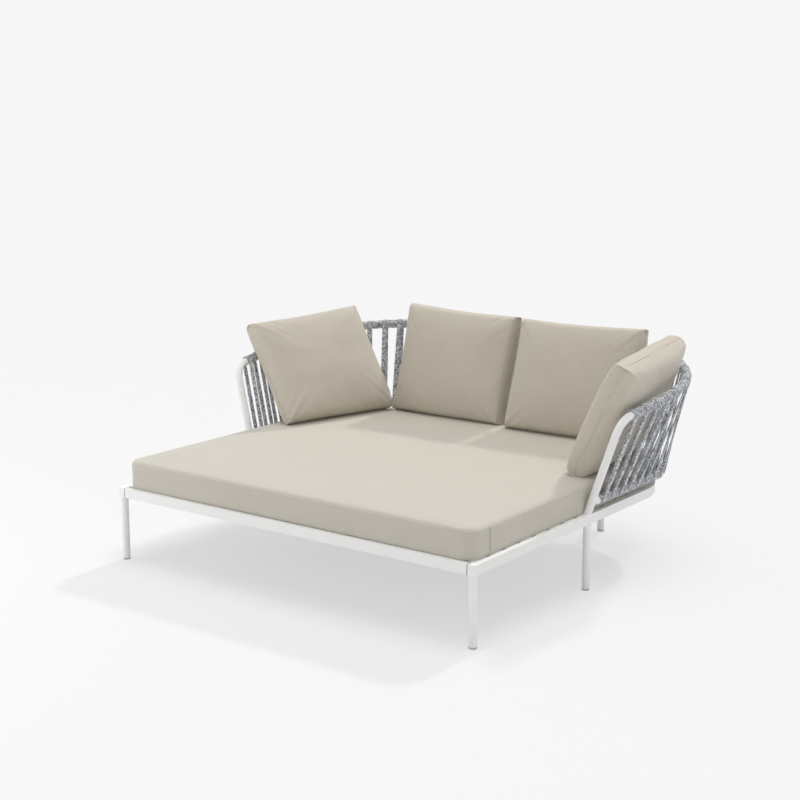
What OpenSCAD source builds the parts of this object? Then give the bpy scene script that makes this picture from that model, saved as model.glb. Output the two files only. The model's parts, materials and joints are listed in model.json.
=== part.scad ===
// Outdoor daybed: a low tubular metal base, a raised arm and back rail wound and strung
// with rope, a slatted deck, a seat mattress and four loose pillows.
// Millimetres, +Z up, the front faces -Y and the origin is on the floor at the
// middle of the footprint. Sizes along the depth are counted from the front face.

/* [Base frame] */
// Width over the side rails
base_w = 1716; // [1560:2:1880]
// Depth from the front rail's face to the back rail's face
base_d = 1525; // [1440:5:1620]
// Height of the rails' top face above the floor
base_h = 300; // [270:2:340]
// Height of the rail's rectangular section
rail_h = 38; // [34:1:44]
// Width of the rail's rectangular section
rail_w = 20; // [18:1:24]
// Wall of the rail's section
rail_wall = 2; // [1.5:0.5:2.5]
// Outer radius of the rear corners
corner_r = 290; // [240:10:320]
// Edge of the square corner castings at the front
casting_w = 30; // [28:1:34]
// Length of the castings' tongues inside the rails and legs
tongue_l = 60; // [40:5:90]
// Open joint between the front rail and its corner castings
joint_gap = 1.5; // [0.6:0.1:2.5]
// Half the length of the separate back rail
back_rail_half = 400; // [340:10:430]

/* [Legs and posts] */
// Outer diameter of the legs and posts
tube_d = 30; // [28:1:32]
// Wall of the legs and posts
tube_wall = 2; // [1.5:0.5:2.5]
// Distance of the middle legs from the front face
mid_leg_y = 784; // [700:4:860]
// Height of the dark glide under each leg
glide_h = 8; // [5:1:14]
// Diameter of the studs that clamp legs and posts to the rails
stud_d = 8; // [6:1:8]
// Distance of the studs from the rails' outer face
stud_inset = 11; // [10:0.5:12]

/* [Arms and back] */
// Height of the arm rail's centre line above the middle legs
arm_h = 668; // [620:4:720]
// Sideways flare of the arm posts
arm_flare = 114; // [90:2:140]
// Rearward lean of the arm posts
arm_lean = 29; // [15:1:45]
// Rise of the arm and back rail towards the back, in degrees
top_tilt = 7.9; // [5:0.1:10]
// How much further out the top rail bows than its posts reach
arm_bow = 33; // [20:1:45]
// How far the top rail's centre line stands behind the base
back_flare = 145; // [110:5:180]
// Radius of the top rail's rear corners
top_r = 517; // [460:1:560]
// Radius of the bend between an arm post and the arm rail
bend_r = 80; // [60:2:100]
// How far the lower rope rail's centre line stands over the base's top
low_rise = 45; // [40:1:65]
// Outer diameter of the lower rope rail's tube
low_tube_d = 28; // [26:1:29]
// Radius of the lower rail's rear corners
low_r = 230; // [200:5:260]

/* [Rope] */
// Number of rope strands round the back, an odd number
strand_count = 43; // [39:2:47]
// Width of one flat rope strand
strand_w = 21; // [17:1:24]
// Thickness of the rope
rope_t = 4.5; // [3.5:0.5:5]
// How many strands stand between the middle and each back post
post_strand = 7; // [6:1:8]

/* [Deck] */
// Number of slats
slat_count = 15; // [12:1:17]
// Width of a slat
slat_w = 70; // [50:2:80]
// Thickness of a slat
slat_t = 12; // [8:1:16]
// Wall of a slat's hollow section
slat_wall = 1.5; // [1:0.25:3]
// Distance of the outer deck beams from the middle
beam_x = 300; // [200:10:380]
// Width of a deck beam
beam_w = 20; // [16:1:26]

/* [Mattress] */
// Overall thickness of the seat mattress
mattress_t = 116; // [96:1:130]
// Distance of the mattress from the front and side faces of the base
mattress_inset = 25; // [24:0.5:34]
// Radius of the mattress's front corners
mattress_front_r = 55; // [40:5:80]

/* [Pillows] */
// Width of every pillow
pillow_w = 596; // [540:2:610]
// Height of every pillow along its face
pillow_h = 488; // [440:2:500]
// Thickness of every pillow at its middle
pillow_t = 164; // [140:2:180]
// Thickness of every pillow at its boxed corners
pillow_edge_t = 60; // [40:2:70]

/* [Hidden] */
$fn = 48;

// Clearances: between pushed-in parts, between butting parts and under soft parts
fit_gap = 0.1;
butt_gap = 0.2;
soft_gap = 0.3;
tube_r = tube_d / 2;
tube_bore_r = tube_r - tube_wall;
low_tube_r = low_tube_d / 2;
stud_r = stud_d / 2;
stud_bore_r = stud_r + fit_gap;

// Legs stand flush with the rails' outer faces
rail_under = base_h - rail_h;
leg_x = base_w / 2 - tube_r;
back_leg_y = base_d - tube_r;
plug_flange = 4;
plug_l = 36;
// Studs reach this far into the plugs above and below the rail
stud_grip = 24;

// Arm post: its foot on the rail, and the corner where its axis meets the arm rail's
post_foot = [leg_x, mid_leg_y, base_h];
arm_corner = [leg_x + arm_flare, mid_leg_y + arm_lean, arm_h];

// A rail's plan is [start, corner centre, corner radius, heading of the arm, arm length].
// It runs from the right arm round the back to the left arm.
function unit(v) = v / norm(v);
function turned(a) = [cos(a), sin(a)];
function rail_plan(start, centre, r) =
    let (v = centre - start, heading = atan2(v[1], v[0]) - asin(r / norm(v)))
    [start, centre, r, heading, v * turned(heading)];
function arc_l(plan) = plan[2] * (180 - plan[3]) * PI / 180;
function half_l(plan) = plan[4] + arc_l(plan) + plan[1][0];
function heading_at(plan, s) =
    s <= plan[4] ? plan[3] : min(180, plan[3] + (s - plan[4]) / plan[2] * 180 / PI);
function right_at(plan, s) =
    s <= plan[4] ? plan[0] + s * turned(plan[3])
    : s <= plan[4] + arc_l(plan) ? plan[1] + plan[2] * turned(heading_at(plan, s) - 90)
    : [half_l(plan) - s, plan[1][1] + plan[2]];
function plan_at(plan, s) =
    s <= half_l(plan) ? right_at(plan, s)
    : let (p = right_at(plan, 2 * half_l(plan) - s)) [-p[0], p[1]];
function plan_dir(plan, s) =
    s <= half_l(plan) ? turned(heading_at(plan, s))
    : let (d = turned(heading_at(plan, 2 * half_l(plan) - s))) [d[0], -d[1]];

// Top rail: its plan lies in a plane that rises towards the back
top_half_w = leg_x + arm_flare + arm_bow;
top_back_y = base_d + back_flare;
top_plane_d = (top_back_y - arm_corner[1]) / cos(top_tilt);
top_back_h = arm_h + top_plane_d * sin(top_tilt);
top_plan = rail_plan([arm_corner[0], 0], [top_half_w - top_r, top_plane_d - top_r], top_r);
function on_top(p) = [p[0], arm_corner[1] + p[1] * cos(top_tilt), arm_h + p[1] * sin(top_tilt)];
function along_top(d) = [d[0], d[1] * cos(top_tilt), d[1] * sin(top_tilt)];

// Lower rope rail: level, on the axes of the arm and back posts
low_h = base_h + low_rise;
low_share = low_rise / (arm_h - base_h);
low_start = [leg_x + arm_flare * low_share, mid_leg_y + arm_lean * low_share];
low_back_y = back_leg_y + (top_back_y - back_leg_y) * low_rise / (top_back_h - base_h);
low_plan = [low_start, [low_start[0] - low_r, low_back_y - low_r], low_r, 90,
            low_back_y - low_r - low_start[1]];
function on_low(p) = [p[0], p[1], low_h];
function along_low(d) = [d[0], d[1], 0];

// Bend from the arm post into the arm rail
post_dir = unit(arm_corner - post_foot);
arm_dir = along_top(turned(top_plan[3]));
bend_angle = acos(post_dir * arm_dir);
bend_run = bend_r * tan(bend_angle / 2);

// Strands start past the bend and past the lower rail's end fittings
fitting_run = 45;
fitting_rise = 28;
fitting_collar_l = 20;
spigot_l = 25;
top_wrap_from = bend_run + 1;
low_wrap_from = fitting_run + 1;
first_top = bend_run + strand_w;
first_low = fitting_run + tube_r + strand_w / 2 + 4;
function top_s(i) = first_top + i * 2 * (half_l(top_plan) - first_top) / (strand_count - 1);
function low_s(i) = first_low + i * 2 * (half_l(low_plan) - first_low) / (strand_count - 1);
mid_strand = (strand_count - 1) / 2;
// The strands' chords stay clear of the tubes that they turn round
turn_steps = 5;
turn_ease = cos(90 / turn_steps);
top_turn_r = (tube_r + butt_gap) / turn_ease + rope_t / 2;
low_turn_r = (low_tube_r + butt_gap) / turn_ease + rope_t / 2;
// The winding leaves room for a strand that leans along the rail
slot_half = strand_w / 2 + 3;

// Back posts stand midway between two strands
post_gap_s = post_strand + 0.5;
post_top_s = top_s(mid_strand - post_gap_s);
post_low_s = low_s(mid_strand - post_gap_s);
back_post_head = on_top(plan_at(top_plan, post_top_s));
back_post_low_x = plan_at(low_plan, post_low_s)[0];
back_post_slope = (back_post_head[0] - back_post_low_x) / (back_post_head[2] - low_h);
back_post_foot = [back_post_low_x - back_post_slope * low_rise, back_leg_y, base_h];
back_post_dir = unit(back_post_head - back_post_foot);
post_clear = tube_r + 2;

// Middle of the footprint along the depth, whose last point is on the winding or on a strand
strand_back_y = max([for (ring = strand_rings(mid_strand), p = ring) p[1]]);
overall_d = max(top_back_y + tube_r + rope_t, strand_back_y);
front_y = -overall_d / 2;
echo(front_y = front_y, back_leg_x = back_post_foot[0]);

// Deck levels
slat_top = base_h;
slat_under = slat_top - slat_t;
beam_h = slat_under - rail_under;
beam_wall = 2;
socket_l = 30;
socket_wall = 3;
ledge_w = 22;
ledge_t = 2;
slat_margin = 30;

frame_colour = [0.93, 0.93, 0.91];
dark_colour = [0.25, 0.25, 0.26];
metal_colour = [0.72, 0.73, 0.74];
rope_colour = [0.62, 0.65, 0.70];
fabric_colour = [0.78, 0.74, 0.68];

module placed() translate([0, front_y, 0]) children();
module mirrored(side) mirror([side < 0 ? 1 : 0, 0, 0]) children();
// Frame whose Z axis runs along d, starting at p
module aim(p, d) {
    z = unit(d);
    x = unit(abs(z[2]) > 0.9 ? cross([0, 1, 0], z) : cross([0, 0, 1], z));
    y = cross(z, x);
    multmatrix([[x[0], y[0], z[0], p[0]], [x[1], y[1], z[1], p[1]],
                [x[2], y[2], z[2], p[2]], [0, 0, 0, 1]]) children();
}
module pipe(l, r, bore) difference() {
    cylinder(r = r, h = l);
    translate([0, 0, -1]) cylinder(r = bore, h = l + 2);
}
module ring_section(r, bore) difference() {
    circle(r, $fn = 32);
    circle(bore, $fn = 32);
}

// Right half of a rail from s0 to s1: its arm, its corner and its back, as pipe.
// Each is drawn from the corner's centre, and may stop short of the next by an ease.
module right_span(plan, s0, s1, r, bore, ease = 0) {
    bow = plan[4] + arc_l(plan);
    turn_share = 180 / PI / plan[2];
    arm_to = min(s1, plan[4] - ease);
    corner_from = max(s0, plan[4] + ease);
    corner_to = min(s1, bow - ease);
    back_from = max(s0, bow + ease);
    turn_angle = round((corner_to - corner_from) * turn_share * 1e6) / 1e6;
    translate([plan[1][0], plan[1][1], 0]) {
        rotate([0, 0, plan[3] - 90]) {
            if (arm_to > s0) translate([plan[2], arm_to - plan[4], 0]) rotate([90, 0, 0])
                pipe(arm_to - s0, r, bore);
            if (corner_to > corner_from) rotate([0, 0, (corner_from - plan[4]) * turn_share])
                rotate_extrude(angle = turn_angle, $fn = 96)
                    translate([plan[2], 0]) ring_section(r, bore);
        }
        if (s1 > back_from) translate([bow - back_from, plan[2], 0]) rotate([0, -90, 0])
            pipe(s1 - back_from, r, bore);
    }
}
module in_top_plane() translate([0, arm_corner[1], arm_h]) rotate([top_tilt, 0, 0]) children();
module in_low_plane() translate([0, 0, low_h]) children();

// Base frame
module rail_profile() difference() {
    square([rail_w, rail_h]);
    translate([rail_wall, rail_wall]) square([rail_w - 2 * rail_wall, rail_h - 2 * rail_wall]);
}
// A straight rail along +X from x0 to x1, its outer face at y = 0
module rail_run(x0, x1) translate([x0, 0, rail_under]) rotate([90, 0, 90])
    linear_extrude(x1 - x0) rail_profile();
module stud_bores(p, extra = 0) translate([p[0], p[1], rail_under - 1 - extra])
    cylinder(r = stud_bore_r, h = rail_h + 2 + 2 * extra);
mid_stud = [base_w / 2 - stud_inset, mid_leg_y];
back_stud = [back_post_foot[0], base_d - stud_inset];

module rail_front() color(frame_colour) placed()
    rail_run(-base_w / 2 + casting_w + joint_gap, base_w / 2 - casting_w - joint_gap);
module rail_back() color(frame_colour) placed()
    translate([0, base_d - rail_w, 0]) rail_run(-back_rail_half, back_rail_half);
module rail_side(side) color(frame_colour) placed() mirrored(side) difference() {
    union() {
        translate([base_w / 2, 0, 0]) rotate([0, 0, 90])
            rail_run(casting_w + butt_gap, base_d - corner_r);
        translate([base_w / 2 - corner_r, base_d - corner_r, rail_under])
            rotate_extrude(angle = 90, $fn = 96)
                translate([corner_r - rail_w, 0]) rail_profile();
        translate([0, base_d - rail_w, 0])
            rail_run(back_rail_half + butt_gap, base_w / 2 - corner_r);
    }
    stud_bores(mid_stud);
    stud_bores(back_stud);
}
// Tongue that fills a rail's inside, along +X from the face at x = 0
module tongue(l) translate([0, rail_wall + fit_gap, rail_under + rail_wall + fit_gap])
    cube([l, rail_w - 2 * rail_wall - 2 * fit_gap, rail_h - 2 * rail_wall - 2 * fit_gap]);
module corner_casting(side) color(frame_colour) placed() mirrored(side) {
    translate([base_w / 2 - casting_w, 0, rail_under]) cube([casting_w, casting_w, rail_h]);
    translate([base_w / 2 - casting_w, 0, 0]) mirror([1, 0, 0]) tongue(tongue_l);
    translate([base_w / 2, casting_w, 0]) rotate([0, 0, 90]) tongue(tongue_l);
    translate([leg_x, tube_r, rail_under - tongue_l]) cylinder(r = tube_bore_r - fit_gap, h = tongue_l);
}
module rail_joiners() color(metal_colour) placed() for (side = [-1, 1]) mirrored(side)
    translate([back_rail_half - tongue_l, base_d - rail_w, 0]) tongue(2 * tongue_l);

// Legs, with plugs in the middle and back ones
leg_spots = [[leg_x, tube_r], [leg_x, mid_leg_y], [back_post_foot[0], back_leg_y]];
module leg(side, spot, top) color(frame_colour) placed() mirrored(side)
    translate([leg_spots[spot][0], leg_spots[spot][1], glide_h]) pipe(top - glide_h, tube_r, tube_bore_r);
module leg_plugs() color(metal_colour) placed() for (side = [-1, 1], spot = [1, 2]) mirrored(side)
    difference() {
        translate([leg_spots[spot][0], leg_spots[spot][1], rail_under - plug_flange]) {
            cylinder(r = tube_r, h = plug_flange);
            translate([0, 0, -plug_l]) cylinder(r = tube_bore_r - fit_gap, h = plug_l);
        }
        stud_bores(spot == 1 ? mid_stud : back_stud, plug_flange + plug_l);
    }
glide_round = 4;
module glide(side, spot) color(dark_colour) placed() mirrored(side)
    translate([leg_spots[spot][0], leg_spots[spot][1], 0]) {
        rotate_extrude() union() {
            square([tube_r - glide_round, glide_h]);
            translate([0, glide_round]) square([tube_r, glide_h - glide_round]);
            translate([tube_r - glide_round, glide_round]) intersection() {
                circle(glide_round);
                translate([0, -glide_round]) square(glide_round);
            }
        }
        translate([0, 0, glide_h]) cylinder(r = tube_bore_r - fit_gap, h = 2 * tube_bore_r);
    }
module clamp_studs() color(metal_colour) placed() for (side = [-1, 1], p = [mid_stud, back_stud])
    mirrored(side) translate([p[0], p[1], rail_under - stud_grip])
        cylinder(r = stud_r, h = rail_h + 2 * stud_grip);

// Deck
function ring_half_w(y) =
    let (over = max(0, y - (base_d - corner_r)), r = corner_r - rail_w)
    base_w / 2 - corner_r + sqrt(max(0, r * r - over * over));
module deck_beams() color(frame_colour) placed() for (x = [-beam_x, 0, beam_x])
    translate([x - beam_w / 2, rail_w + butt_gap, rail_under]) difference() {
        cube([beam_w, base_d - 2 * rail_w - 2 * butt_gap, beam_h]);
        translate([beam_wall, -1, beam_wall])
            cube([beam_w - 2 * beam_wall, base_d, beam_h - 2 * beam_wall]);
    }
module beam_sockets() color(frame_colour) placed()
    for (x = [-beam_x, 0, beam_x], y = [rail_w, base_d - rail_w - socket_l]) difference() {
        translate([x - beam_w / 2 - socket_wall, y, rail_under - socket_wall])
            cube([beam_w + 2 * socket_wall, socket_l, beam_h + socket_wall - butt_gap]);
        translate([x - beam_w / 2 - fit_gap, y - 1, rail_under])
            cube([beam_w + 2 * fit_gap, socket_l + 2, beam_h]);
    }
module slat_ledges() color(frame_colour) placed() for (side = [-1, 1]) mirrored(side)
    translate([base_w / 2 - rail_w - ledge_w, slat_margin + casting_w, slat_under - ledge_t]) {
        cube([ledge_w, base_d - corner_r - slat_margin - casting_w, ledge_t]);
        translate([ledge_w - ledge_t, 0, -(beam_h - 2 * ledge_t)])
            cube([ledge_t, base_d - corner_r - slat_margin - casting_w, beam_h - ledge_t]);
    }
module slats() color(metal_colour) placed() for (i = [0 : slat_count - 1]) {
    first = rail_w + slat_margin / 2 + slat_w / 2;
    y = first + i * (base_d - 2 * first) / (slat_count - 1);
    front_ease = max(0, rail_w + butt_gap + casting_w - y);
    half = ring_half_w(y + slat_w / 2 + front_ease) - 2;
    translate([-half, y - slat_w / 2, slat_under]) difference() {
        cube([2 * half, slat_w, slat_t]);
        translate([-1, slat_wall, slat_wall])
            cube([2 * half + 2, slat_w - 2 * slat_wall, slat_t - 2 * slat_wall]);
    }
}

// Arm posts with their bends, arm tubes with their corners, back tube and back posts
module arm_post(side) color(frame_colour) placed() mirrored(side) difference() {
    x = -unit(arm_dir - (arm_dir * post_dir) * post_dir);
    z = cross(x, post_dir);
    o = arm_corner - bend_run * post_dir - bend_r * x;
    multmatrix([[x[0], post_dir[0], z[0], o[0]], [x[1], post_dir[1], z[1], o[1]],
                [x[2], post_dir[2], z[2], o[2]], [0, 0, 0, 1]]) {
        translate([bend_r, 0, 0]) rotate([90, 0, 0])
            pipe(norm(arm_corner - post_foot) - bend_run + tube_d, tube_r, tube_bore_r);
        rotate_extrude(angle = bend_angle, $fn = 96)
            translate([bend_r, 0]) ring_section(tube_r, tube_bore_r);
    }
    translate([leg_x - 2 * tube_d, mid_leg_y - 2 * tube_d, base_h - 2 * tube_d])
        cube([4 * tube_d, 4 * tube_d, 2 * tube_d]);
}
top_bow_s = top_plan[4] + arc_l(top_plan);
top_back_half = half_l(top_plan) - top_bow_s;
module arm_tube(side) color(frame_colour) placed() mirrored(side) in_top_plane()
    right_span(top_plan, bend_run + butt_gap, top_bow_s, tube_r, tube_bore_r);
module back_tube() color(frame_colour) placed() in_top_plane()
    translate([butt_gap - top_back_half, top_plane_d, 0]) rotate([0, 90, 0])
        pipe(2 * (top_back_half - butt_gap), tube_r, tube_bore_r);
// A joiner reaches only a little way into the curved tube, with room for the curve
joiner_reach = 12;
joiner_gap = fit_gap + joiner_reach * joiner_reach / (2 * top_r);
module tube_joiners() color(metal_colour) placed() for (side = [-1, 1]) mirrored(side) in_top_plane()
    translate([top_back_half + joiner_reach, top_plane_d, 0]) rotate([0, -90, 0])
        cylinder(r = tube_bore_r - joiner_gap, h = tongue_l + joiner_reach);
// The back post is coped to the round of the rail above it
module back_post(side) color(frame_colour) placed() mirrored(side) difference() {
    aim(back_post_foot - tube_d * back_post_dir, back_post_dir)
        pipe(norm(back_post_head - back_post_foot) + tube_d, tube_r, tube_bore_r);
    translate([back_post_foot[0] - 2 * tube_d, back_leg_y - 2 * tube_d, base_h - 2 * tube_d])
        cube([4 * tube_d, 4 * tube_d, 2 * tube_d]);
    d = along_top(plan_dir(top_plan, post_top_s));
    aim(back_post_head - 2 * tube_d * d, d) cylinder(r = tube_r + butt_gap, h = 4 * tube_d);
}
module post_plug(foot, d, stud) difference() {
    aim(foot - tube_d * d, d) cylinder(r = tube_bore_r - fit_gap, h = tube_d + plug_l);
    translate([foot[0] - 2 * tube_d, foot[1] - 2 * tube_d, base_h - 2 * tube_d])
        cube([4 * tube_d, 4 * tube_d, 2 * tube_d]);
    translate([stud[0], stud[1], base_h - 1]) cylinder(r = stud_bore_r, h = stud_grip + 2);
}
module post_plugs() color(metal_colour) placed() for (side = [-1, 1]) mirrored(side) {
    post_plug(post_foot, post_dir, mid_stud);
    post_plug(back_post_foot, back_post_dir, back_stud);
}

// Lower rope rail, broken at the back posts and held at the arm posts by slanted fittings
module post_cut(foot, d) aim(foot - tube_d * d, d) cylinder(r = tube_r + fit_gap, h = 8 * tube_d);
module low_tube(side) color(frame_colour) placed() mirrored(side) difference() {
    in_low_plane() right_span(low_plan, fitting_run + butt_gap, post_low_s - tube_r / 2,
        low_tube_r, low_tube_r - tube_wall);
    post_cut(back_post_foot, back_post_dir);
}
module low_tube_back() color(frame_colour) placed() difference() {
    translate([-back_post_foot[0], low_back_y, low_h]) rotate([0, 90, 0])
        pipe(2 * back_post_foot[0], low_tube_r, low_tube_r - tube_wall);
    for (side = [-1, 1]) mirrored(side) post_cut(back_post_foot, back_post_dir);
}
// An arm slants down from the post into a level collar, whose spigot enters the rail
module low_rail_fittings() color(frame_colour) placed() for (side = [-1, 1]) mirrored(side) {
    root = post_foot + post_dir * (low_rise + fitting_rise) / post_dir[2];
    collar = [low_start[0], low_start[1] + fitting_run - fitting_collar_l, low_h];
    end = collar + [0, fitting_collar_l / 2, 0];
    difference() {
        union() {
            aim(root, end - root) cylinder(r = tube_r - 0.5, h = norm(end - root));
            translate(collar) rotate([-90, 0, 0]) cylinder(r = tube_r, h = fitting_collar_l);
            translate(end) rotate([-90, 0, 0])
                cylinder(r = low_tube_r - tube_wall - fit_gap, h = fitting_collar_l / 2 + spigot_l);
        }
        post_cut(post_foot, post_dir);
    }
}

// Rope wound on the rails between the strands
function is_post_gap(i) = abs(abs(i + 0.5 - mid_strand) - post_gap_s) < 0.1;
module wraps(plan, begin, starts, r_in, from, to) for (i = [from : to - 1]) {
    a = i < 0 ? begin : starts[i] + slot_half;
    b = starts[i + 1] - slot_half;
    mid = (a + b) / 2;
    pieces = is_post_gap(i) ? [[a, mid - post_clear], [mid + post_clear, b]] : [[a, b]];
    for (piece = pieces) if (piece[1] - piece[0] > 3)
        right_span(plan, piece[0], piece[1], r_in + rope_t, r_in + fit_gap, butt_gap);
}
top_starts = [for (i = [0 : mid_strand]) top_s(i)];
low_starts = [for (i = [0 : mid_strand]) low_s(i)];
corner_strand = mid_strand - 6;
module wrap_top(side, from, to) color(rope_colour) placed() mirrored(side) in_top_plane()
    wraps(top_plan, top_wrap_from, top_starts, tube_r, from, to);
module wrap_low(side, from, to) color(rope_colour) placed() mirrored(side) difference() {
    in_low_plane() wraps(low_plan, low_wrap_from, low_starts, low_tube_r, from, to);
    post_cut(back_post_foot, back_post_dir);
}

// One strand: a flat band that runs up outside the rails and down inside them
function turn(centre, out, up, along, r, from) = [
    for (k = [0 : turn_steps]) let (
        a = from + 180 * k / turn_steps,
        d = cos(a) * out + sin(a) * up
    ) [for (c = [[1, 1], [-1, 1], [-1, -1], [1, -1]])
        centre + (r + c[0] * rope_t / 2) * d + c[1] * strand_w / 2 * along]
];
function strand_rings(i) = let (
    top = on_top(plan_at(top_plan, top_s(i))),
    low = on_low(plan_at(low_plan, low_s(i))),
    top_along = along_top(plan_dir(top_plan, top_s(i))),
    low_along = along_low(plan_dir(low_plan, low_s(i))),
    rise = top - low,
    top_up = unit(rise - (rise * top_along) * top_along),
    low_up = unit(rise - (rise * low_along) * low_along)
) concat(
    turn(top, cross(top_along, top_up), top_up, top_along, top_turn_r, 0),
    turn(low, cross(low_along, low_up), low_up, low_along, low_turn_r, 180)
);
module strand(i) {
    rings = strand_rings(i);
    n = len(rings);
    polyhedron(
        points = [for (ring = rings) for (p = ring) p],
        faces = [for (k = [0 : n - 1]) for (c = [0 : 3]) let (
            a = 4 * k + c, b = 4 * k + (c + 1) % 4,
            e = 4 * ((k + 1) % n) + c, f = 4 * ((k + 1) % n) + (c + 1) % 4
        ) each [[a, e, b], [b, e, f]]]
    );
}
module strands(from, to) color(rope_colour) placed() for (i = [from : to]) strand(i);
least_gap = min([for (i = [0 : strand_count - 2]) min(
    norm(on_top(plan_at(top_plan, top_s(i + 1))) - on_top(plan_at(top_plan, top_s(i)))),
    norm(on_low(plan_at(low_plan, low_s(i + 1))) - on_low(plan_at(low_plan, low_s(i))))
)]) - strand_w;
echo(least_gap_between_strands = least_gap);

// Seat mattress: a boxed form with rounded corners, drawn-in sides and a crowned top
mattress_rest_gap = 2;
mattress_slide = 4;
mattress_half_w = base_w / 2 - mattress_inset;
mattress_front = mattress_inset - mattress_slide;
mattress_back = back_leg_y - tube_r - mattress_rest_gap;
mattress_back_r = low_r - low_turn_r - mattress_rest_gap;
// Each ring is [inset from the outline, share of the thickness]
mattress_rings = [
    [24, 0], [7, 0.03], [1.5, 0.09], [0, 0.17], [2.5, 0.45], [0, 0.76], [1.5, 0.85],
    [6, 0.92], [17, 0.96], [45, 0.985], [100, 1]
];
side_draw = 3;
function corner_arc(cx, cy, r, from, steps) =
    [for (k = [0 : steps]) [cx + r * cos(from + 90 * k / steps), cy + r * sin(from + 90 * k / steps)]];
function between(p, q, n, pull) = let (aside = unit([q[1] - p[1], p[0] - q[0]]))
    [for (k = [1 : n]) let (t = k / (n + 1)) p + (q - p) * t + pull * 4 * t * (1 - t) * aside];
function mattress_outline(d) = let (
    w = mattress_half_w - d, y0 = mattress_front + d, y1 = mattress_back - d,
    rf = max(4, mattress_front_r - d), rb = max(4, mattress_back_r - d),
    fr = corner_arc(w - rf, y0 + rf, rf, -90, 4),
    br = corner_arc(w - rb, y1 - rb, rb, 0, 6),
    bl = corner_arc(-w + rb, y1 - rb, rb, 90, 6),
    fl = corner_arc(-w + rf, y0 + rf, rf, 180, 4)
) concat(
    fr, between(fr[4], br[0], 5, -side_draw), br, between(br[6], bl[0], 4, -side_draw),
    bl, between(bl[6], fl[0], 5, -side_draw), fl, between(fl[4], fr[0], 6, -side_draw)
);
module mattress() color(fabric_colour) placed() {
    z0 = base_h + soft_gap;
    rings = [for (ring = mattress_rings) [for (p = mattress_outline(ring[0]))
        [p[0], p[1], z0 + ring[1] * mattress_t]]];
    n = len(rings[0]);
    m = len(rings);
    centre = [0, (mattress_front + mattress_back) / 2];
    polyhedron(
        points = concat([for (ring = rings) for (p = ring) p],
            [[centre[0], centre[1], z0], [centre[0], centre[1], z0 + mattress_t]]),
        faces = concat(
            [for (k = [0 : m - 2]) for (c = [0 : n - 1]) let (
                a = n * k + c, b = n * k + (c + 1) % n, e = a + n, f = b + n
            ) each [[a, e, b], [b, e, f]]],
            [for (c = [0 : n - 1]) [c, (c + 1) % n, n * m]],
            [for (c = [0 : n - 1]) [n * (m - 1) + (c + 1) % n, n * (m - 1) + c, n * m + 1]]
        )
    );
}

// Height of the mattress's crowned top under a point
mattress_crown = [for (ring = mattress_rings) if (ring[1] > 0.9) ring];
function mattress_top(p) = base_h + soft_gap + mattress_t * lookup(
    min(mattress_half_w - abs(p[0]), mattress_back - p[1], p[1] - mattress_front), mattress_crown);

// Pillow: two swollen sheets whose rims meet in a seam round the middle of a boxed edge.
// place is [x, y from the front, yaw, roll, most lean]: where the seam's lowest middle point
// stands, and how the pillow is turned.
pillow_cells = [14, 10];
pillow_draw = 0.03;
pillow_rim = 8;
pillow_rest_gap = 4;
function edge_share(k, n) = sin(90 * (2 * k / n - 1));
function fullness(a) = sqrt(max(0, 1 - pow(abs(a), 3.2)));
function half_swell(a, b) =
    pillow_edge_t / 2 + (pillow_t - pillow_edge_t) / 2 * fullness(a) * fullness(b);
// Point of a pillow before it is posed: share a across, share b up, drawn in by rim
function pillow_point(a, b, t, rim) = [
    a * (pillow_w / 2 - rim) * (1 - pillow_draw * (1 - b * b)),
    t,
    pillow_h / 2 + b * (pillow_h / 2 - rim) * (1 - pillow_draw * (1 - a * a))
];
function posed(p, place, lean) = let (
    x = p[0] * cos(place[3]) - p[2] * sin(place[3]),
    up = p[0] * sin(place[3]) + p[2] * cos(place[3]),
    y = p[1] * cos(lean) + up * sin(lean)
) [
    place[0] + x * cos(place[2]) - y * sin(place[2]),
    place[1] + x * sin(place[2]) + y * cos(place[2]),
    up * cos(lean) - p[1] * sin(lean)
];
// A pillow leans back until its swollen back rests on the strands or on the top rail
pillow_seat = base_h + soft_gap + mattress_t + soft_gap;
lowest_rest_share = 0.3;
function rest_points() = [
    for (i = [0 : 0.5 : mid_strand]) for (t = [lowest_rest_share : 0.1 : 1])
        on_low(plan_at(low_plan, low_s(i))) * (1 - t) + on_top(plan_at(top_plan, top_s(i))) * t
];
function rest_lean(place) = let (side = place[0] < 0 ? -1 : 1) min([place[4], each
    [for (p = rest_points()) let (
        x = side * p[0] - place[0],
        y = p[1] - place[1],
        across = x * cos(place[2]) + y * sin(place[2]),
        back = y * cos(place[2]) - x * sin(place[2]),
        up = p[2] - pillow_seat - pillow_edge_t / 4,
        reach = norm([back, up]),
        along = sqrt(max(0, reach * reach - pillow_t * pillow_t / 4)),
        rope_half = top_turn_r + rope_t / 2 + pillow_rest_gap,
        thick = half_swell(2 * across / pillow_w, 2 * along / pillow_h - 1) + rope_half,
        near = abs(across) < pillow_w / 2 + tube_r && along < pillow_h && up > 0
    ) if (near) atan2(back, up) - asin(min(1, thick / reach))]
]);
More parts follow.
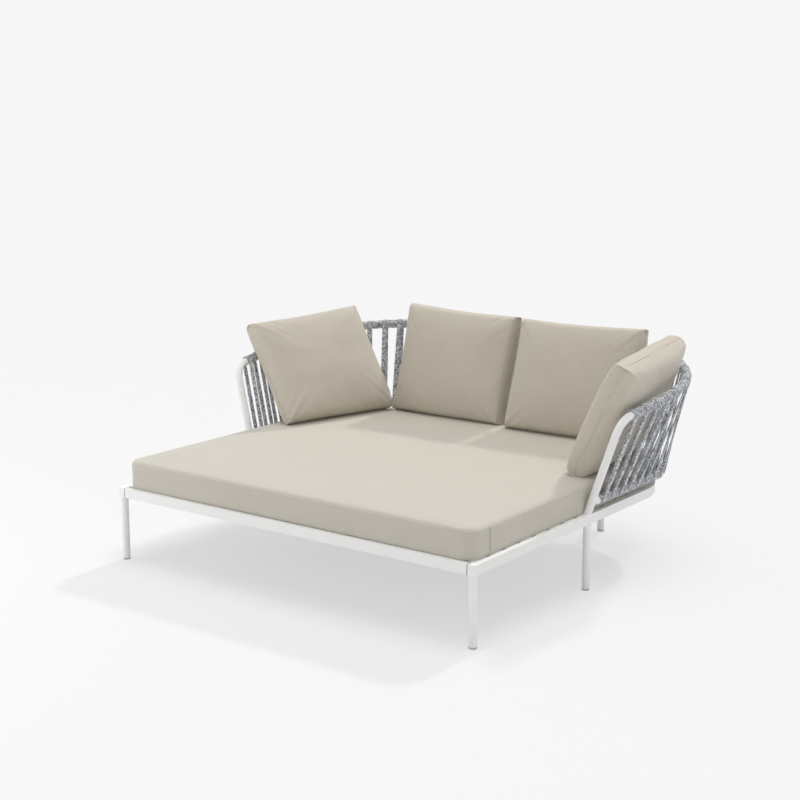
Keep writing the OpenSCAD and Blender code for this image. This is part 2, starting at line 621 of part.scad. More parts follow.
// Rim points run round the pillow: bottom, right, top, left
rim_walk = let (m = pillow_cells[0], n = pillow_cells[1]) concat(
    [for (i = [0 : m - 1]) [i, 0]], [for (j = [0 : n - 1]) [m, j]],
    [for (i = [m : -1 : 1]) [i, n]], [for (j = [n : -1 : 1]) [0, j]]
);
function sheet_index(i, j) = j * (pillow_cells[0] + 1) + i;
module pillow(place) color(fabric_colour) placed() {
    m = pillow_cells[0];
    n = pillow_cells[1];
    lean = rest_lean(place);
    sheet_points = (m + 1) * (n + 1);
    rim_points = len(rim_walk);
    points = [
        for (face = [-1, 1]) for (j = [0 : n]) for (i = [0 : m])
            let (a = edge_share(i, m), b = edge_share(j, n))
            posed(pillow_point(a, b, face * half_swell(a, b), pillow_rim), place, lean),
        for (k = rim_walk)
            posed(pillow_point(edge_share(k[0], m), edge_share(k[1], n), 0, 0), place, lean)
    ];
    lift = max([for (p = points) mattress_top(p) + soft_gap - p[2]]);
    polyhedron(
        points = [for (p = points) p + [0, 0, lift]],
        faces = concat(
            [for (j = [0 : n - 1]) for (i = [0 : m - 1]) let (
                a = sheet_index(i, j), b = sheet_index(i + 1, j),
                c = sheet_index(i, j + 1), d = c + 1, s = sheet_points
            ) each [[a, c, b], [b, c, d], [a + s, b + s, c + s], [b + s, d + s, c + s]]],
            [for (k = [0 : rim_points - 1]) let (
                k2 = (k + 1) % rim_points,
                a = sheet_index(rim_walk[k][0], rim_walk[k][1]),
                b = sheet_index(rim_walk[k2][0], rim_walk[k2][1]),
                c = 2 * sheet_points + k, d = 2 * sheet_points + k2, s = sheet_points
            ) each [[a, b, c], [b, d, c], [a + s, c, b + s], [b + s, c, d]]]
        )
    );
}
// Places of the pillows: how far they stand in from the mattress's sides and its back
left_pillow_in = 194;
left_pillow_back = 344;
right_pillow_in = 122;
right_pillow_back = 362;
back_left_pillow_x = -262;
back_left_pillow_back = 40;
back_right_pillow_x = 366;
back_right_pillow_back = 66;
left_place = [-mattress_half_w + left_pillow_in, mattress_back - left_pillow_back, 73, 4, 34];
right_place = [mattress_half_w - right_pillow_in, mattress_back - right_pillow_back, -82.5, -3.5, 27.5];
back_left_place = [back_left_pillow_x, mattress_back - back_left_pillow_back, 0, -1.5, 14];
back_right_place = [back_right_pillow_x, mattress_back - back_right_pillow_back, 3, 0, 20];

corner_casting(-1);  // corner_casting_left
corner_casting(1);  // corner_casting_right
rail_front();
rail_side(-1);  // rail_side_left
rail_side(1);  // rail_side_right
rail_back();
rail_joiners();
leg(-1, 0, rail_under);  // leg_front_left
leg(1, 0, rail_under);  // leg_front_right
leg(-1, 1, rail_under - plug_flange);  // leg_mid_left
leg(1, 1, rail_under - plug_flange);  // leg_mid_right
leg(-1, 2, rail_under - plug_flange);  // leg_back_left
leg(1, 2, rail_under - plug_flange);  // leg_back_right
leg_plugs();
glide(-1, 0);  // glide_front_left
glide(1, 0);  // glide_front_right
glide(-1, 1);  // glide_mid_left
glide(1, 1);  // glide_mid_right
glide(-1, 2);  // glide_back_left
glide(1, 2);  // glide_back_right
clamp_studs();
deck_beams();
beam_sockets();
slat_ledges();
slats();
arm_post(-1);  // arm_post_left
arm_post(1);  // arm_post_right
arm_tube(-1);  // arm_tube_left
arm_tube(1);  // arm_tube_right
back_tube();
tube_joiners();
back_post(-1);  // back_post_left
back_post(1);  // back_post_right
post_plugs();
low_tube(-1);  // low_tube_left
low_tube_back();
low_tube(1);  // low_tube_right
low_rail_fittings();
wrap_top(-1, -1, corner_strand);  // rope_wrap_top_left
for (side = [-1, 1]) wrap_top(side, corner_strand, mid_strand);  // rope_wrap_top_back
wrap_top(1, -1, corner_strand);  // rope_wrap_top_right
wrap_low(-1, -1, corner_strand);  // rope_wrap_low_left
for (side = [-1, 1]) wrap_low(side, corner_strand, mid_strand);  // rope_wrap_low_back
wrap_low(1, -1, corner_strand);  // rope_wrap_low_right
strands(strand_count - 6, strand_count - 1);  // rope_strands_arm_left
strands(strand_count - 1 - corner_strand, strand_count - 7);  // rope_strands_corner_left
strands(corner_strand + 1, strand_count - 2 - corner_strand);  // rope_strands_back
strands(6, corner_strand);  // rope_strands_corner_right
strands(0, 5);  // rope_strands_arm_right
mattress();
pillow(left_place);  // pillow_left
pillow(back_left_place);  // pillow_back_left
pillow(back_right_place);  // pillow_back_right
pillow(right_place);  // pillow_right
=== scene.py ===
"""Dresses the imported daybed: rope work, cushions, finishes, floor, light and camera."""

import json
import logging
import math
from collections.abc import Callable, Iterable, Sequence
from dataclasses import dataclass
from enum import Enum

import bmesh
import bpy
import numpy as np
from mathutils import Matrix, Vector, noise
from mathutils.bvhtree import BVHTree


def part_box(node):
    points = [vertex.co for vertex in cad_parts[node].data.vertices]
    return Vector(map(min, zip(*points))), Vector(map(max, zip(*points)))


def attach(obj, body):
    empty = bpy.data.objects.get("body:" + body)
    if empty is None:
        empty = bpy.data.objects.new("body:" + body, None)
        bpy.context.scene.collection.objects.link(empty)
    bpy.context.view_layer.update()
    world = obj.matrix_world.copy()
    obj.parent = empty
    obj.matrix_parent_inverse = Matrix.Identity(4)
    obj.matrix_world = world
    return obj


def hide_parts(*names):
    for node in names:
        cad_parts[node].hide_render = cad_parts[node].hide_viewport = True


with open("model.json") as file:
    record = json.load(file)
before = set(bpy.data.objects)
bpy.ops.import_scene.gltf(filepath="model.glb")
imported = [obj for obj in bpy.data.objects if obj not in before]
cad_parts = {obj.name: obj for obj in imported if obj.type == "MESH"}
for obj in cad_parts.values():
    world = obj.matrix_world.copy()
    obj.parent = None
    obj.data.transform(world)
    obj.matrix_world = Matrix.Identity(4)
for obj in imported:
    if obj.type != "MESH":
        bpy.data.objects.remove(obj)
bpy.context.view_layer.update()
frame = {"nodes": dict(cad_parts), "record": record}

LOG = logging.getLogger("daybed")
MM = 0.001
FRONT_Y = -0.84475

Mesh = bpy.types.Mesh
Material = bpy.types.Material
Array = np.ndarray
Triple = tuple[float, float, float]
Pair = tuple[float, float]
Rings = tuple[Pair, ...]


def placed(name: str, data: bpy.types.ID) -> bpy.types.Object:
    """A new object in the scene."""
    made = bpy.data.objects.new(name, data)
    bpy.context.scene.collection.objects.link(made)
    return made


def mesh_of(bm: bmesh.types.BMesh, name: str) -> Mesh:
    """A new mesh from a working mesh, which is freed."""
    mesh = bpy.data.meshes.new(name)
    bm.to_mesh(mesh)
    bm.free()
    return mesh


def tinted(colour: Triple, factor: float) -> Triple:
    """A colour made darker or paler."""
    return tuple(min(1.0, factor * share) for share in colour)


class Side(Enum):
    """The left and the right of the daybed, as seen from its front."""

    LEFT = -1
    RIGHT = 1


class Slot(Enum):
    """The record's material slots."""

    FRAME = "frame_coat"
    SLATS = "slat_coat"
    INNER = "inner_metal"
    STUDS = "stud_steel"
    GLIDES = "glide_plastic"
    ROPE = "rope"
    MATTRESS = "mattress_fabric"
    PILLOWS = "pillow_fabric"


def _math(operation: str, turned: bool = False) -> Callable[..., "Term"]:
    """A method of Term that adds one Math node.

    Args:
        operation: The node's operation.
        turned: Whether the term itself comes last.

    Returns:
        The method, which takes the other terms or numbers.
    """

    def method(self: "Term", *others: "Term | float") -> "Term":
        """Adds the node and stands for its result."""
        inputs = [*others, self] if turned else [self, *others]
        return self.shader.node("Math", inputs, operation=operation)

    return method


class Term:
    """A shader socket that takes part in Python arithmetic, one Math node an operation."""

    __add__ = __radd__ = _math("ADD")
    __sub__ = _math("SUBTRACT")
    __rsub__ = _math("SUBTRACT", turned=True)
    __mul__ = __rmul__ = _math("MULTIPLY")
    __truediv__ = _math("DIVIDE")
    sine = _math("SINE")
    floor = _math("FLOOR")
    size = _math("ABSOLUTE")
    modulo = _math("FLOORED_MODULO")

    def __init__(self, shader: "Shader", socket: bpy.types.NodeSocket) -> None:
        """Keeps the socket and the shader that it belongs to."""
        self.shader = shader
        self.socket = socket


class Shader:
    """The node tree of one material or of the world."""

    def __init__(self, name: str, group: bpy.types.bpy_prop_collection = bpy.data.materials) -> None:
        """Makes the owner with its default surface."""
        self.owner = group.new(name)
        self.owner.use_nodes = True
        self.tree = self.owner.node_tree
        self.surface = next(n for n in self.tree.nodes if n.type in ("BSDF_PRINCIPLED", "BACKGROUND"))

    def _feed(self, socket: bpy.types.NodeSocket, value: "Term | float | Sequence[float]") -> None:
        """Links a term to a socket, or sets the socket's own value."""
        if isinstance(value, Term):
            self.tree.links.new(value.socket, socket)
            return
        if hasattr(socket.default_value, "__len__") and not hasattr(value, "__len__"):
            value = [value] * len(socket.default_value)
        if hasattr(value, "__len__") and len(value) == 3 and len(socket.default_value) == 4:
            value = (*value, 1.0)
        socket.default_value = value

    def node(
        self,
        kind: str,
        inputs: dict[str | int, object] | Sequence[object] = (),
        output: str | int = 0,
        **settings: object,
    ) -> Term:
        """Adds one node.

        Args:
            kind: The node's type, without the ShaderNode that starts every name.
            inputs: What its sockets get, by name or number, or in order.
            output: The socket that the term stands for.
            **settings: Its own properties, and stops for a colour ramp.

        Returns:
            The chosen output as a term.
        """
        made = self.tree.nodes.new("ShaderNode" + kind)
        for key, value in settings.items():
            if key == "stops":
                while len(made.color_ramp.elements) < len(value):
                    made.color_ramp.elements.new(0.5)
                for element, (place, colour) in zip(made.color_ramp.elements, value):
                    element.position = place
                    element.color = (*colour, 1.0)
            else:
                setattr(made, key, value)
        pairs = inputs.items() if isinstance(inputs, dict) else enumerate(inputs)
        for key, value in pairs:
            self._feed(made.inputs[key], value)
        return Term(self, made.outputs[output])

    def place(self) -> Term:
        """Object coordinates, in metres."""
        return self.node("TexCoord", output="Object")

    def cloth(self) -> tuple[Term, Term]:
        """The piece's own UV map as two terms, in metres."""
        split = self.node("SeparateXYZ", [self.node("UVMap", uv_map="cloth")])
        return split, Term(self, split.socket.node.outputs[1])

    def join(self, x: "Term | float", y: "Term | float", z: "Term | float" = 0.0) -> Term:
        """A vector of three terms."""
        return self.node("CombineXYZ", [x, y, z])

    def grain(self, where: Term, scale: float, detail: float = 2.0, rough: float = 0.5) -> Term:
        """Noise of 0 to 1 at a scale in turns to the metre."""
        inputs = {"Vector": where, "Scale": scale, "Detail": detail, "Roughness": rough}
        return self.node("TexNoise", inputs)

    def chance(self, x: Term, y: Term) -> Term:
        """A random number of 0 to 1 for each pair of whole numbers."""
        return self.node("TexWhiteNoise", {"Vector": self.join(x, y)}, noise_dimensions="2D")

    def seen(self) -> Term:
        """1 where the camera looks, straight or by a mirror, and 0 for the other rays."""
        rays = ("Is Camera Ray", "Is Glossy Ray")
        camera, glossy = (self.node("LightPath", output=ray) for ray in rays)
        return camera + glossy

    def weave(self, first: Term, second: Term) -> tuple[Term, Term]:
        """Two crossing sets of yarns.

        Args:
            first: Place across the first set's yarns, one yarn to each whole number.
            second: The same for the second set.

        Returns:
            Whether the first set lies on top, 0 or 1, and the height of the one on top.
        """
        over = (first.floor() + second.floor()).modulo(2.0)
        ridge, other = ((way * math.pi).sine().size() for way in (first, second))
        return over, over * ridge + (1.0 - over) * other

    def blend(self, share: "Term | float", first: object, second: object, how: str = "MIX") -> Term:
        """Mixes two colours."""
        inputs = {0: share, 6: first, 7: second}
        return self.node("Mix", inputs, 2, data_type="RGBA", blend_type=how)

    def ramp(self, share: Term, stops: Sequence[tuple[float, Sequence[float]]]) -> Term:
        """Turns a share into a colour."""
        return self.node("ValToRGB", [share], stops=stops)

    def range(self, value: Term, low: float, high: float) -> Term:
        """Spreads 0 to 1 over low to high."""
        return value * (high - low) + low

    def bump(self, height: Term, depth: float, strength: float) -> Term:
        """A Bump node on a height of 0 to 1, depth in metres."""
        inputs = {"Strength": strength, "Distance": depth, "Height": height}
        return self.node("Bump", inputs)

    def finish(self, **sockets: object) -> Material | bpy.types.World:
        """Feeds the surface's sockets, with _ in place of a space in their names.

        Args:
            **sockets: Values or terms by socket name.

        Returns:
            The finished material or world.
        """
        for name, value in sockets.items():
            self._feed(self.surface.inputs[name.replace("_", " ")], value)
        return self.owner


@dataclass(frozen=True)
class PowderCoat:
    """Off-white powder coat with a fine orange peel."""

    name: str = "white_powder_coat"
    colour: Triple = (0.93, 0.93, 0.915)
    roughness: float = 0.42
    uneven: float = 0.05
    peel_scale: float = 650.0
    peel_depth: float = 0.12 * MM

    def make(self) -> Material:
        """Builds the material."""
        shader = Shader(self.name)
        where = shader.place()
        low, high = self.roughness - self.uneven, self.roughness + self.uneven
        return shader.finish(
            Base_Color=shader.blend(shader.grain(where, 6.0, 3.0), self.colour, tinted(self.colour, 0.965)),
            Roughness=shader.range(shader.grain(where, 40.0), low, high),
            Normal=shader.bump(shader.grain(where, self.peel_scale), self.peel_depth, 0.5),
            Coat_Weight=0.08,
            Coat_Roughness=0.25,
        )


@dataclass(frozen=True)
class PlainMetal:
    """Bare metal of the inner joiners, plugs and studs."""

    name: str
    colour: Triple
    lines_a_metre: float = 900.0
    line_depth: float = 0.05 * MM
    stretch: Triple = (1.0, 1.0, 0.04)

    def make(self) -> Material:
        """Builds the material."""
        shader = Shader(self.name)
        where = shader.place()
        drawn = shader.node("Mapping", {"Vector": where, "Scale": self.stretch})
        lines = shader.grain(drawn, self.lines_a_metre, 3.0)
        return shader.finish(
            Base_Color=shader.blend(shader.grain(where, 30.0), self.colour, tinted(self.colour, 0.85)),
            Metallic=1.0,
            Roughness=shader.range(lines, 0.28, 0.46),
            Normal=shader.bump(lines, self.line_depth, 0.4),
        )


@dataclass(frozen=True)
class GlidePlastic:
    """Matt moulded plastic of the floor glides, and the near-black sheets of painted shade in the front
    rail's joints.
    """

    name: str = "grey_glide_plastic"
    colour: Triple = (0.42, 0.42, 0.425)
    pit_scale: float = 1800.0
    pit_depth: float = 0.1 * MM
    scuff_scale: float = 160.0

    def make(self) -> Material:
        """Builds the material."""
        shader = Shader(self.name)
        where = shader.place()
        scuffs = shader.grain(where, self.scuff_scale, 4.0, 0.7)
        return shader.finish(
            Base_Color=shader.blend(scuffs, self.colour, tinted(self.colour, 1.5)),
            Roughness=shader.range(scuffs, 0.5, 0.72),
            Normal=shader.bump(shader.grain(where, self.pit_scale), self.pit_depth, 0.5),
        )


@dataclass(frozen=True)
class Rope:
    """Flat braided rope of mixed blue-grey yarns, on the piece's own UV map."""

    name: str = "melange_rope"
    pick: float = 5.2 * MM
    depth: float = 1.1 * MM
    cloud_scale: float = 90.0
    dark: Triple = (0.225, 0.248, 0.29)
    middle: Triple = (0.55, 0.575, 0.615)
    light: Triple = (0.90, 0.91, 0.925)

    def make(self) -> Material:
        """Builds the material: two sets of yarns cross, and each crossing shows one of them."""
        shader = Shader(self.name)
        along, across = shader.cloth()
        first = (along + across) / self.pick
        second = (along - across) / self.pick
        over, height = shader.weave(second, first)
        row, column = first.floor(), second.floor()
        yarn = over * shader.chance(column, 3.0 * over + 7.0)
        yarn = yarn + (1.0 - over) * shader.chance(row, 11.0 + over)
        fleck = shader.chance(row + 0.5, column + 0.5)
        cloud = shader.grain(shader.join(along, across), self.cloud_scale)
        tone = yarn * 0.22 + fleck * 0.50 + cloud * 0.28
        colour = shader.ramp(tone, [(0.28, self.dark), (0.50, self.middle), (0.72, self.light)])
        # Painted shade: the base colour darkens in the hollows between the braid's yarns.
        groove = shader.range(height, 0.72, 1.0)
        fibres = shader.grain(shader.join(first * 0.7, second * 6.0), 1.0)
        return shader.finish(
            Base_Color=shader.blend(1.0, colour, shader.join(groove, groove, groove), "MULTIPLY"),
            Roughness=shader.range(fibres, 0.72, 0.92),
            Normal=shader.bump(height * 0.85 + fibres * 0.15, self.depth, 0.8),
            Sheen_Weight=0.12,
            Sheen_Roughness=0.5,
        )


@dataclass(frozen=True)
class Canvas:
    """Sand-coloured plain-weave outdoor fabric, on the piece's own UV map."""

    name: str
    colour: Triple = (0.588, 0.553, 0.478)
    thread: float = 1.1 * MM
    depth: float = 0.35 * MM
    slub_long: float = 14.0
    slub_short: float = 420.0

    def make(self) -> Material:
        """Builds the material: warp and weft cross over and under, with slubs along both."""
        shader = Shader(self.name)
        u, v = shader.cloth()
        _, height = shader.weave(u / self.thread, v / self.thread)
        slub_u = shader.grain(shader.join(u * self.slub_long, v * self.slub_short), 1.0)
        slub_v = shader.grain(shader.join(u * self.slub_short, v * self.slub_long), 1.0)
        cloud = shader.grain(shader.join(u, v), 5.0, 3.0)
        # The weave's height lightens the tone on the threads' crowns: painted shade between the threads.
        tone = slub_u * 0.35 + slub_v * 0.35 + cloud * 0.15 + height * 0.15
        stops = [(0.3, tinted(self.colour, 0.91)), (0.7, tinted(self.colour, 1.07))]
        return shader.finish(
            Base_Color=shader.ramp(tone, stops),
            Roughness=shader.range(slub_u, 0.84, 0.96),
            Normal=shader.bump(height * 0.8 + slub_v * 0.2, self.depth, 0.55),
            Sheen_Weight=0.18,
            Sheen_Roughness=0.6,
        )


class Finishes:
    """Every material of the daybed by the record's slot."""

    def __init__(self) -> None:
        """Makes the materials."""
        self.by_slot: dict[Slot, Material] = {
            Slot.FRAME: PowderCoat().make(),
            Slot.SLATS: PowderCoat("slat_powder_coat", (0.88, 0.88, 0.865), 0.5).make(),
            Slot.INNER: PlainMetal("mill_aluminium", (0.78, 0.79, 0.80)).make(),
            Slot.STUDS: PlainMetal("plain_steel", (0.58, 0.58, 0.59), 1400.0).make(),
            Slot.GLIDES: GlidePlastic().make(),
            Slot.ROPE: Rope().make(),
            Slot.MATTRESS: Canvas("mattress_canvas").make(),
            Slot.PILLOWS: Canvas("pillow_canvas", (0.60, 0.55, 0.465)).make(),
        }
        # Near-black plastic that paints the shade inside the front rail's open joints.
        self.joint_shade = GlidePlastic("painted_joint_shade", (0.05, 0.05, 0.052)).make()
        self.stitching = Canvas("seam_stitching", (0.70, 0.665, 0.60), 1.6 * MM).make()
        # Dark thread colour that paints the shade in the mattress border's joint grooves.
        self.groove_shade = Canvas("painted_groove_shade", (0.36, 0.32, 0.265), 1.6 * MM).make()

    def dress_frame(self) -> None:
        """Gives every CAD node the material of its slot."""
        for part in frame["record"]["subparts"]:
            mesh = frame["nodes"][part["node"]].data
            mesh.materials.clear()
            mesh.materials.append(self.by_slot[Slot(part["material_slot"])])


@dataclass
class Workshop:
    """Turns meshes into finished pieces that ride, replace and take a finish."""

    finishes: Finishes

    def piece(
        self,
        name: str,
        mesh: Mesh,
        body: str,
        slot: Slot,
        replaces: Iterable[str] = (),
        finish: Material | None = None,
    ) -> bpy.types.Object:
        """Makes one piece of the daybed.

        Args:
            name: The piece's name.
            mesh: Its finished mesh, in the row frame.
            body: The CAD body that carries it.
            slot: The record's slot that gives its finish.
            replaces: The CAD nodes that it stands for.
            finish: A material of its own in place of the slot's.

        Returns:
            The new object.
        """
        mesh.name = name
        mesh.materials.clear()
        mesh.materials.append(finish or self.finishes.by_slot[slot])
        mesh.shade_smooth()
        made = placed(name, mesh)
        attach(made, body)
        names = list(replaces)
        if names:
            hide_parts(*names)
        LOG.info("%s: %d faces", name, len(mesh.polygons))
        return made


@dataclass
class JointShadeSheets:
    """Thin near-black sheets that close the two open joints of the front rail and paint the shade in their
    slits.
    """

    shop: Workshop
    thick: float = 2.2 * MM
    proud: float = 0.25 * MM
    rounding: float = 0.2 * MM

    def make(self) -> None:
        """Builds one sheet of painted joint shade at each end of the front rail."""
        low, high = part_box("rail_front")
        middle = (low + high) / 2
        size = (self.thick, high.y - low.y + 2 * self.proud, high.z - low.z + 2 * self.proud)
        for side in Side:
            bm = bmesh.new()
            bmesh.ops.create_cube(bm, size=1.0)
            bmesh.ops.scale(bm, vec=size, verts=bm.verts)
            bevel = {"offset": self.rounding, "segments": 2, "profile": 0.5, "affect": "EDGES"}
            bmesh.ops.bevel(bm, geom=bm.edges, **bevel)
            bmesh.ops.translate(bm, vec=(side.value * high.x, middle.y, middle.z), verts=bm.verts)
            name = f"shim_{side.name.lower()}"
            mesh = mesh_of(bm, name)
            self.shop.piece(name, mesh, "frame", Slot.GLIDES, finish=self.shop.finishes.joint_shade)


def pull(items: bpy.types.bpy_prop_collection, key: str, width: int = 3, kind: type = float) -> Array:
    """One attribute of many items, a row to each.

    Args:
        items: A mesh's points, faces, loops or the like.
        key: The attribute's name.
        width: How many numbers it has.
        kind: What they are.

    Returns:
        The rows.
    """
    flat = np.zeros(len(items) * width, dtype=kind)
    items.foreach_get(key, flat)
    return flat.reshape(-1, width)


def carpet(
    columns: int,
    rows: int,
    bend: Callable[[Array, Array], Array],
    size: Pair,
    shift: Pair = (0.0, 0.0),
) -> Mesh:
    """Bends a flat grid into a closed surface and welds the edges that meet.

    Args:
        columns: Cells along the grid's first way.
        rows: Cells along its second way.
        bend: Takes the two shares, 0 to 1, of every point and gives its place.
        size: The cloth's real size both ways, in metres, for the UV map.
        shift: Moves the UV map, so that like pieces don't repeat one pattern.

    Returns:
        The mesh, with its UV map named cloth.
    """
    bm = bmesh.new()
    bm.loops.layers.uv.new("cloth")
    bmesh.ops.create_grid(bm, x_segments=columns, y_segments=rows, size=0.5, calc_uvs=True)
    flat = np.array([v.co for v in bm.verts])
    for vert, point in zip(bm.verts, bend(flat[:, 0] + 0.5, flat[:, 1] + 0.5)):
        vert.co = point
    bmesh.ops.remove_doubles(bm, verts=bm.verts, dist=0.01 * MM)
    bmesh.ops.recalc_face_normals(bm, faces=bm.faces)
    mesh = mesh_of(bm, "carpet")
    layer = mesh.uv_layers["cloth"].data
    spread = (pull(layer, "uv", 2) * size).astype(np.float32)
    layer.foreach_set("uv", (spread + np.array(shift)).ravel())
    return mesh


def gather(meshes: Iterable[Mesh]) -> Mesh:
    """Joins meshes into one and removes the sources."""
    bm = bmesh.new()
    for mesh in meshes:
        bm.from_mesh(mesh)
        bpy.data.meshes.remove(mesh)
    return mesh_of(bm, "joined")


def units(rows: Array) -> Array:
    """Rows of vectors at length 1."""
    return rows / np.maximum(np.linalg.norm(rows, axis=-1, keepdims=True), 1e-12)


@dataclass(frozen=True)
class Rail:
    """A bent rail's centre line: right arm, rear corner and back, mirrored to the left.

    Distances along it run in metres from the right arm's start to the left arm's. The first
    strand stands at first, and the winding begins at begin.
    """

    start: Pair
    centre: Pair
    radius: float
    heading: float
    arm: float
    origin: Triple
    tilt: float
    tube_r: float
    first: float
    begin: float

    @property
    def half(self) -> float:
        """Length from the start to the middle of the back."""
        return self.arm + self.radius * (math.pi - self.heading) + self.centre[0]

    def _plan(self, s: float) -> Triple:
        """X, Y and heading in the rail's own plane, on the right half."""
        if s <= self.arm:
            x = self.start[0] + s * math.cos(self.heading)
            return x, self.start[1] + s * math.sin(self.heading), self.heading
        turn = self.heading + (s - self.arm) / self.radius
        if turn < math.pi:
            x = self.centre[0] + self.radius * math.sin(turn)
            return x, self.centre[1] - self.radius * math.cos(turn), turn
        return self.half - s, self.centre[1] + self.radius, math.pi

    def frame_at(self, s: float) -> tuple[Array, Array]:
        """The point at a distance and the rail's direction there."""
        left = s > self.half
        x, y, turn = self._plan(2 * self.half - s if left else s)
        dx, dy = math.cos(turn), math.sin(turn)
        if left:
            x, dy = -x, -dy
        ct, st = math.cos(self.tilt), math.sin(self.tilt)
        ox, oy, oz = self.origin
        return np.array([ox + x, oy + y * ct, oz + y * st]), np.array([dx, dy * ct, dy * st])


@dataclass
class RopeWork:
    """The strands between the two rails and the winding on both.

    Turns of the winding lean by skews, in millimetres, where a span is longer than leaning.
    """

    shop: Workshop
    count: int = 43
    width: float = 22.5 * MM
    thick: float = 6.5 * MM
    turn_width: float = 20 * MM
    turn_thick: float = 4.5 * MM
    slot_half: float = 11.6 * MM
    post_strand: int = 7
    post_clear: float = 19 * MM
    clear: float = 0.3 * MM
    gap: float = 0.25 * MM
    strand_sides: int = 12
    turn_cells: tuple[int, int] = (18, 6)
    leaning: float = 15 * MM
    skews: Pair = (0.5, 1.1)
    sway: float = 0.9 * MM
    lean: float = 0.05
    run_steps: int = 9
    turn_steps: int = 9
    top: Rail = Rail(
        start=(0.957, 0.0),
        centre=(0.473, 0.348211),
        radius=0.517,
        heading=math.radians(84.1443),
        arm=0.297015,
        origin=(0.0, 0.813 + FRONT_Y, 0.668),
        tilt=math.radians(7.9),
        tube_r=15 * MM,
        first=77 * MM,
        begin=64.0 * MM,
    )
    low: Rail = Rail(
        start=(0.85694, 0.787546),
        centre=(0.62694, 1.294787),
        radius=0.23,
        heading=math.pi / 2,
        arm=0.507241,
        origin=(0.0, FRONT_Y, 0.345),
        tilt=0.0,
        tube_r=14 * MM,
        first=62 * MM,
        begin=46.0 * MM,
    )

    @property
    def middle(self) -> int:
        """The strand in the middle of the back."""
        return (self.count - 1) // 2

    def place_of(self, rail: Rail, index: float) -> float:
        """How far along a rail a strand stands."""
        return rail.first + index * 2 * (rail.half - rail.first) / (self.count - 1)

    def _profile(self, share: Array, width: float, thick: float) -> tuple[Array, Array]:
        """A flat braid's outline: rounded edges and a slight crown, across and out."""
        angle = 2 * math.pi * share
        across = np.sign(np.cos(angle)) * np.abs(np.cos(angle)) ** 0.55 * width / 2
        out = np.sign(np.sin(angle)) * np.abs(np.sin(angle)) ** 0.7 * thick / 2
        return across, out

    def strand(self, index: int, dice: np.random.Generator) -> Mesh:
        """One strand: a flat braid that runs up outside the rails and down inside them.

        Args:
            index: Its number from the right arm's front.
            dice: The source of its small irregularities.

        Returns:
            Its closed mesh.
        """
        rails = (self.top, self.low)
        ends = [rail.frame_at(self.place_of(rail, index)) for rail in rails]
        rise = ends[0][0] - ends[1][0]
        turns = []
        for rail, (point, along), start in zip(rails, ends, (0.0, math.pi)):
            up = units(rise - (rise @ along) * along)
            out = np.cross(along, up)
            radius = rail.tube_r + self.clear + self.thick / 2
            angles = [start + math.pi * k / self.turn_steps for k in range(self.turn_steps + 1)]
            ways = [math.cos(angle) * out + math.sin(angle) * up for angle in angles]
            turns.append([(point + radius * way, way, along) for way in ways])
        sways = dice.normal(0.0, self.sway, 4)
        leans = dice.normal(0.0, self.lean, 2)
        rings = []
        for half in (0, 1):
            rings += turns[half]
            end, begin = turns[half][-1], turns[1 - half][0]
            for k in range(1, self.run_steps):
                t = k / self.run_steps
                bow = math.sin(math.pi * t)
                centre, out, along = (a * (1 - t) + b * t for a, b in zip(end, begin))
                out, along = units(out), units(along)
                twist = leans[half] * bow
                shift = out * sways[half] * bow + along * sways[2 + half] * bow
                outward = out * math.cos(twist) + along * math.sin(twist)
                rings.append((centre + shift, outward, along * math.cos(twist) - out * math.sin(twist)))
        ring_c, ring_o, ring_a = np.array(rings + rings[:1]).transpose(1, 0, 2)
        steps = len(rings)
        length = float(np.linalg.norm(np.diff(ring_c, axis=0), axis=1).sum())

        def bend(u: Array, v: Array) -> Array:
            """Lays the grid round the loop."""
            k = np.rint(u * steps).astype(int)
            across, out = self._profile(v, self.width, self.thick)
            return ring_c[k] + ring_a[k] * across[:, None] + ring_o[k] * out[:, None]

        shift = (float(dice.uniform(0, 1)), index * 0.137)
        return carpet(steps, self.strand_sides, bend, (length, 2 * self.width), shift)

    def wrap(self, rail: Rail, begin: float, end: float, skew: float, seed: float) -> Mesh:
        """One turn of the winding between two places on a rail.

        Args:
            rail: The rail that it is wound on.
            begin: Where its edge starts along the rail.
            end: Where its other edge is.
            skew: How far the turn leans along the rail from one side to the other.
            seed: Shifts the braid's pattern.

        Returns:
            Its closed mesh.
        """
        mid, width = (begin + end) / 2, end - begin
        point, along = rail.frame_at(mid)
        up = units(np.array([0.0, 0.0, 1.0]) - along[2] * along)
        out = np.cross(along, up)
        radius = rail.tube_r + self.clear / 2 + self.turn_thick / 2

        def bend(u: Array, v: Array) -> Array:
            """Lays the grid round the rail."""
            angle = 2 * math.pi * u
            across, swell = self._profile(v, width, self.turn_thick)
            d = np.cos(angle)[:, None] * out + np.sin(angle)[:, None] * up
            places = mid + across + skew * np.sin(angle + seed)
            base = np.array([rail.frame_at(float(s))[0] for s in places])
            return base + d * (radius + swell)[:, None]

        size, shift = (2 * math.pi * radius, 2 * width), (seed * 0.311, seed * 0.173)
        return carpet(*self.turn_cells, bend, size, shift)

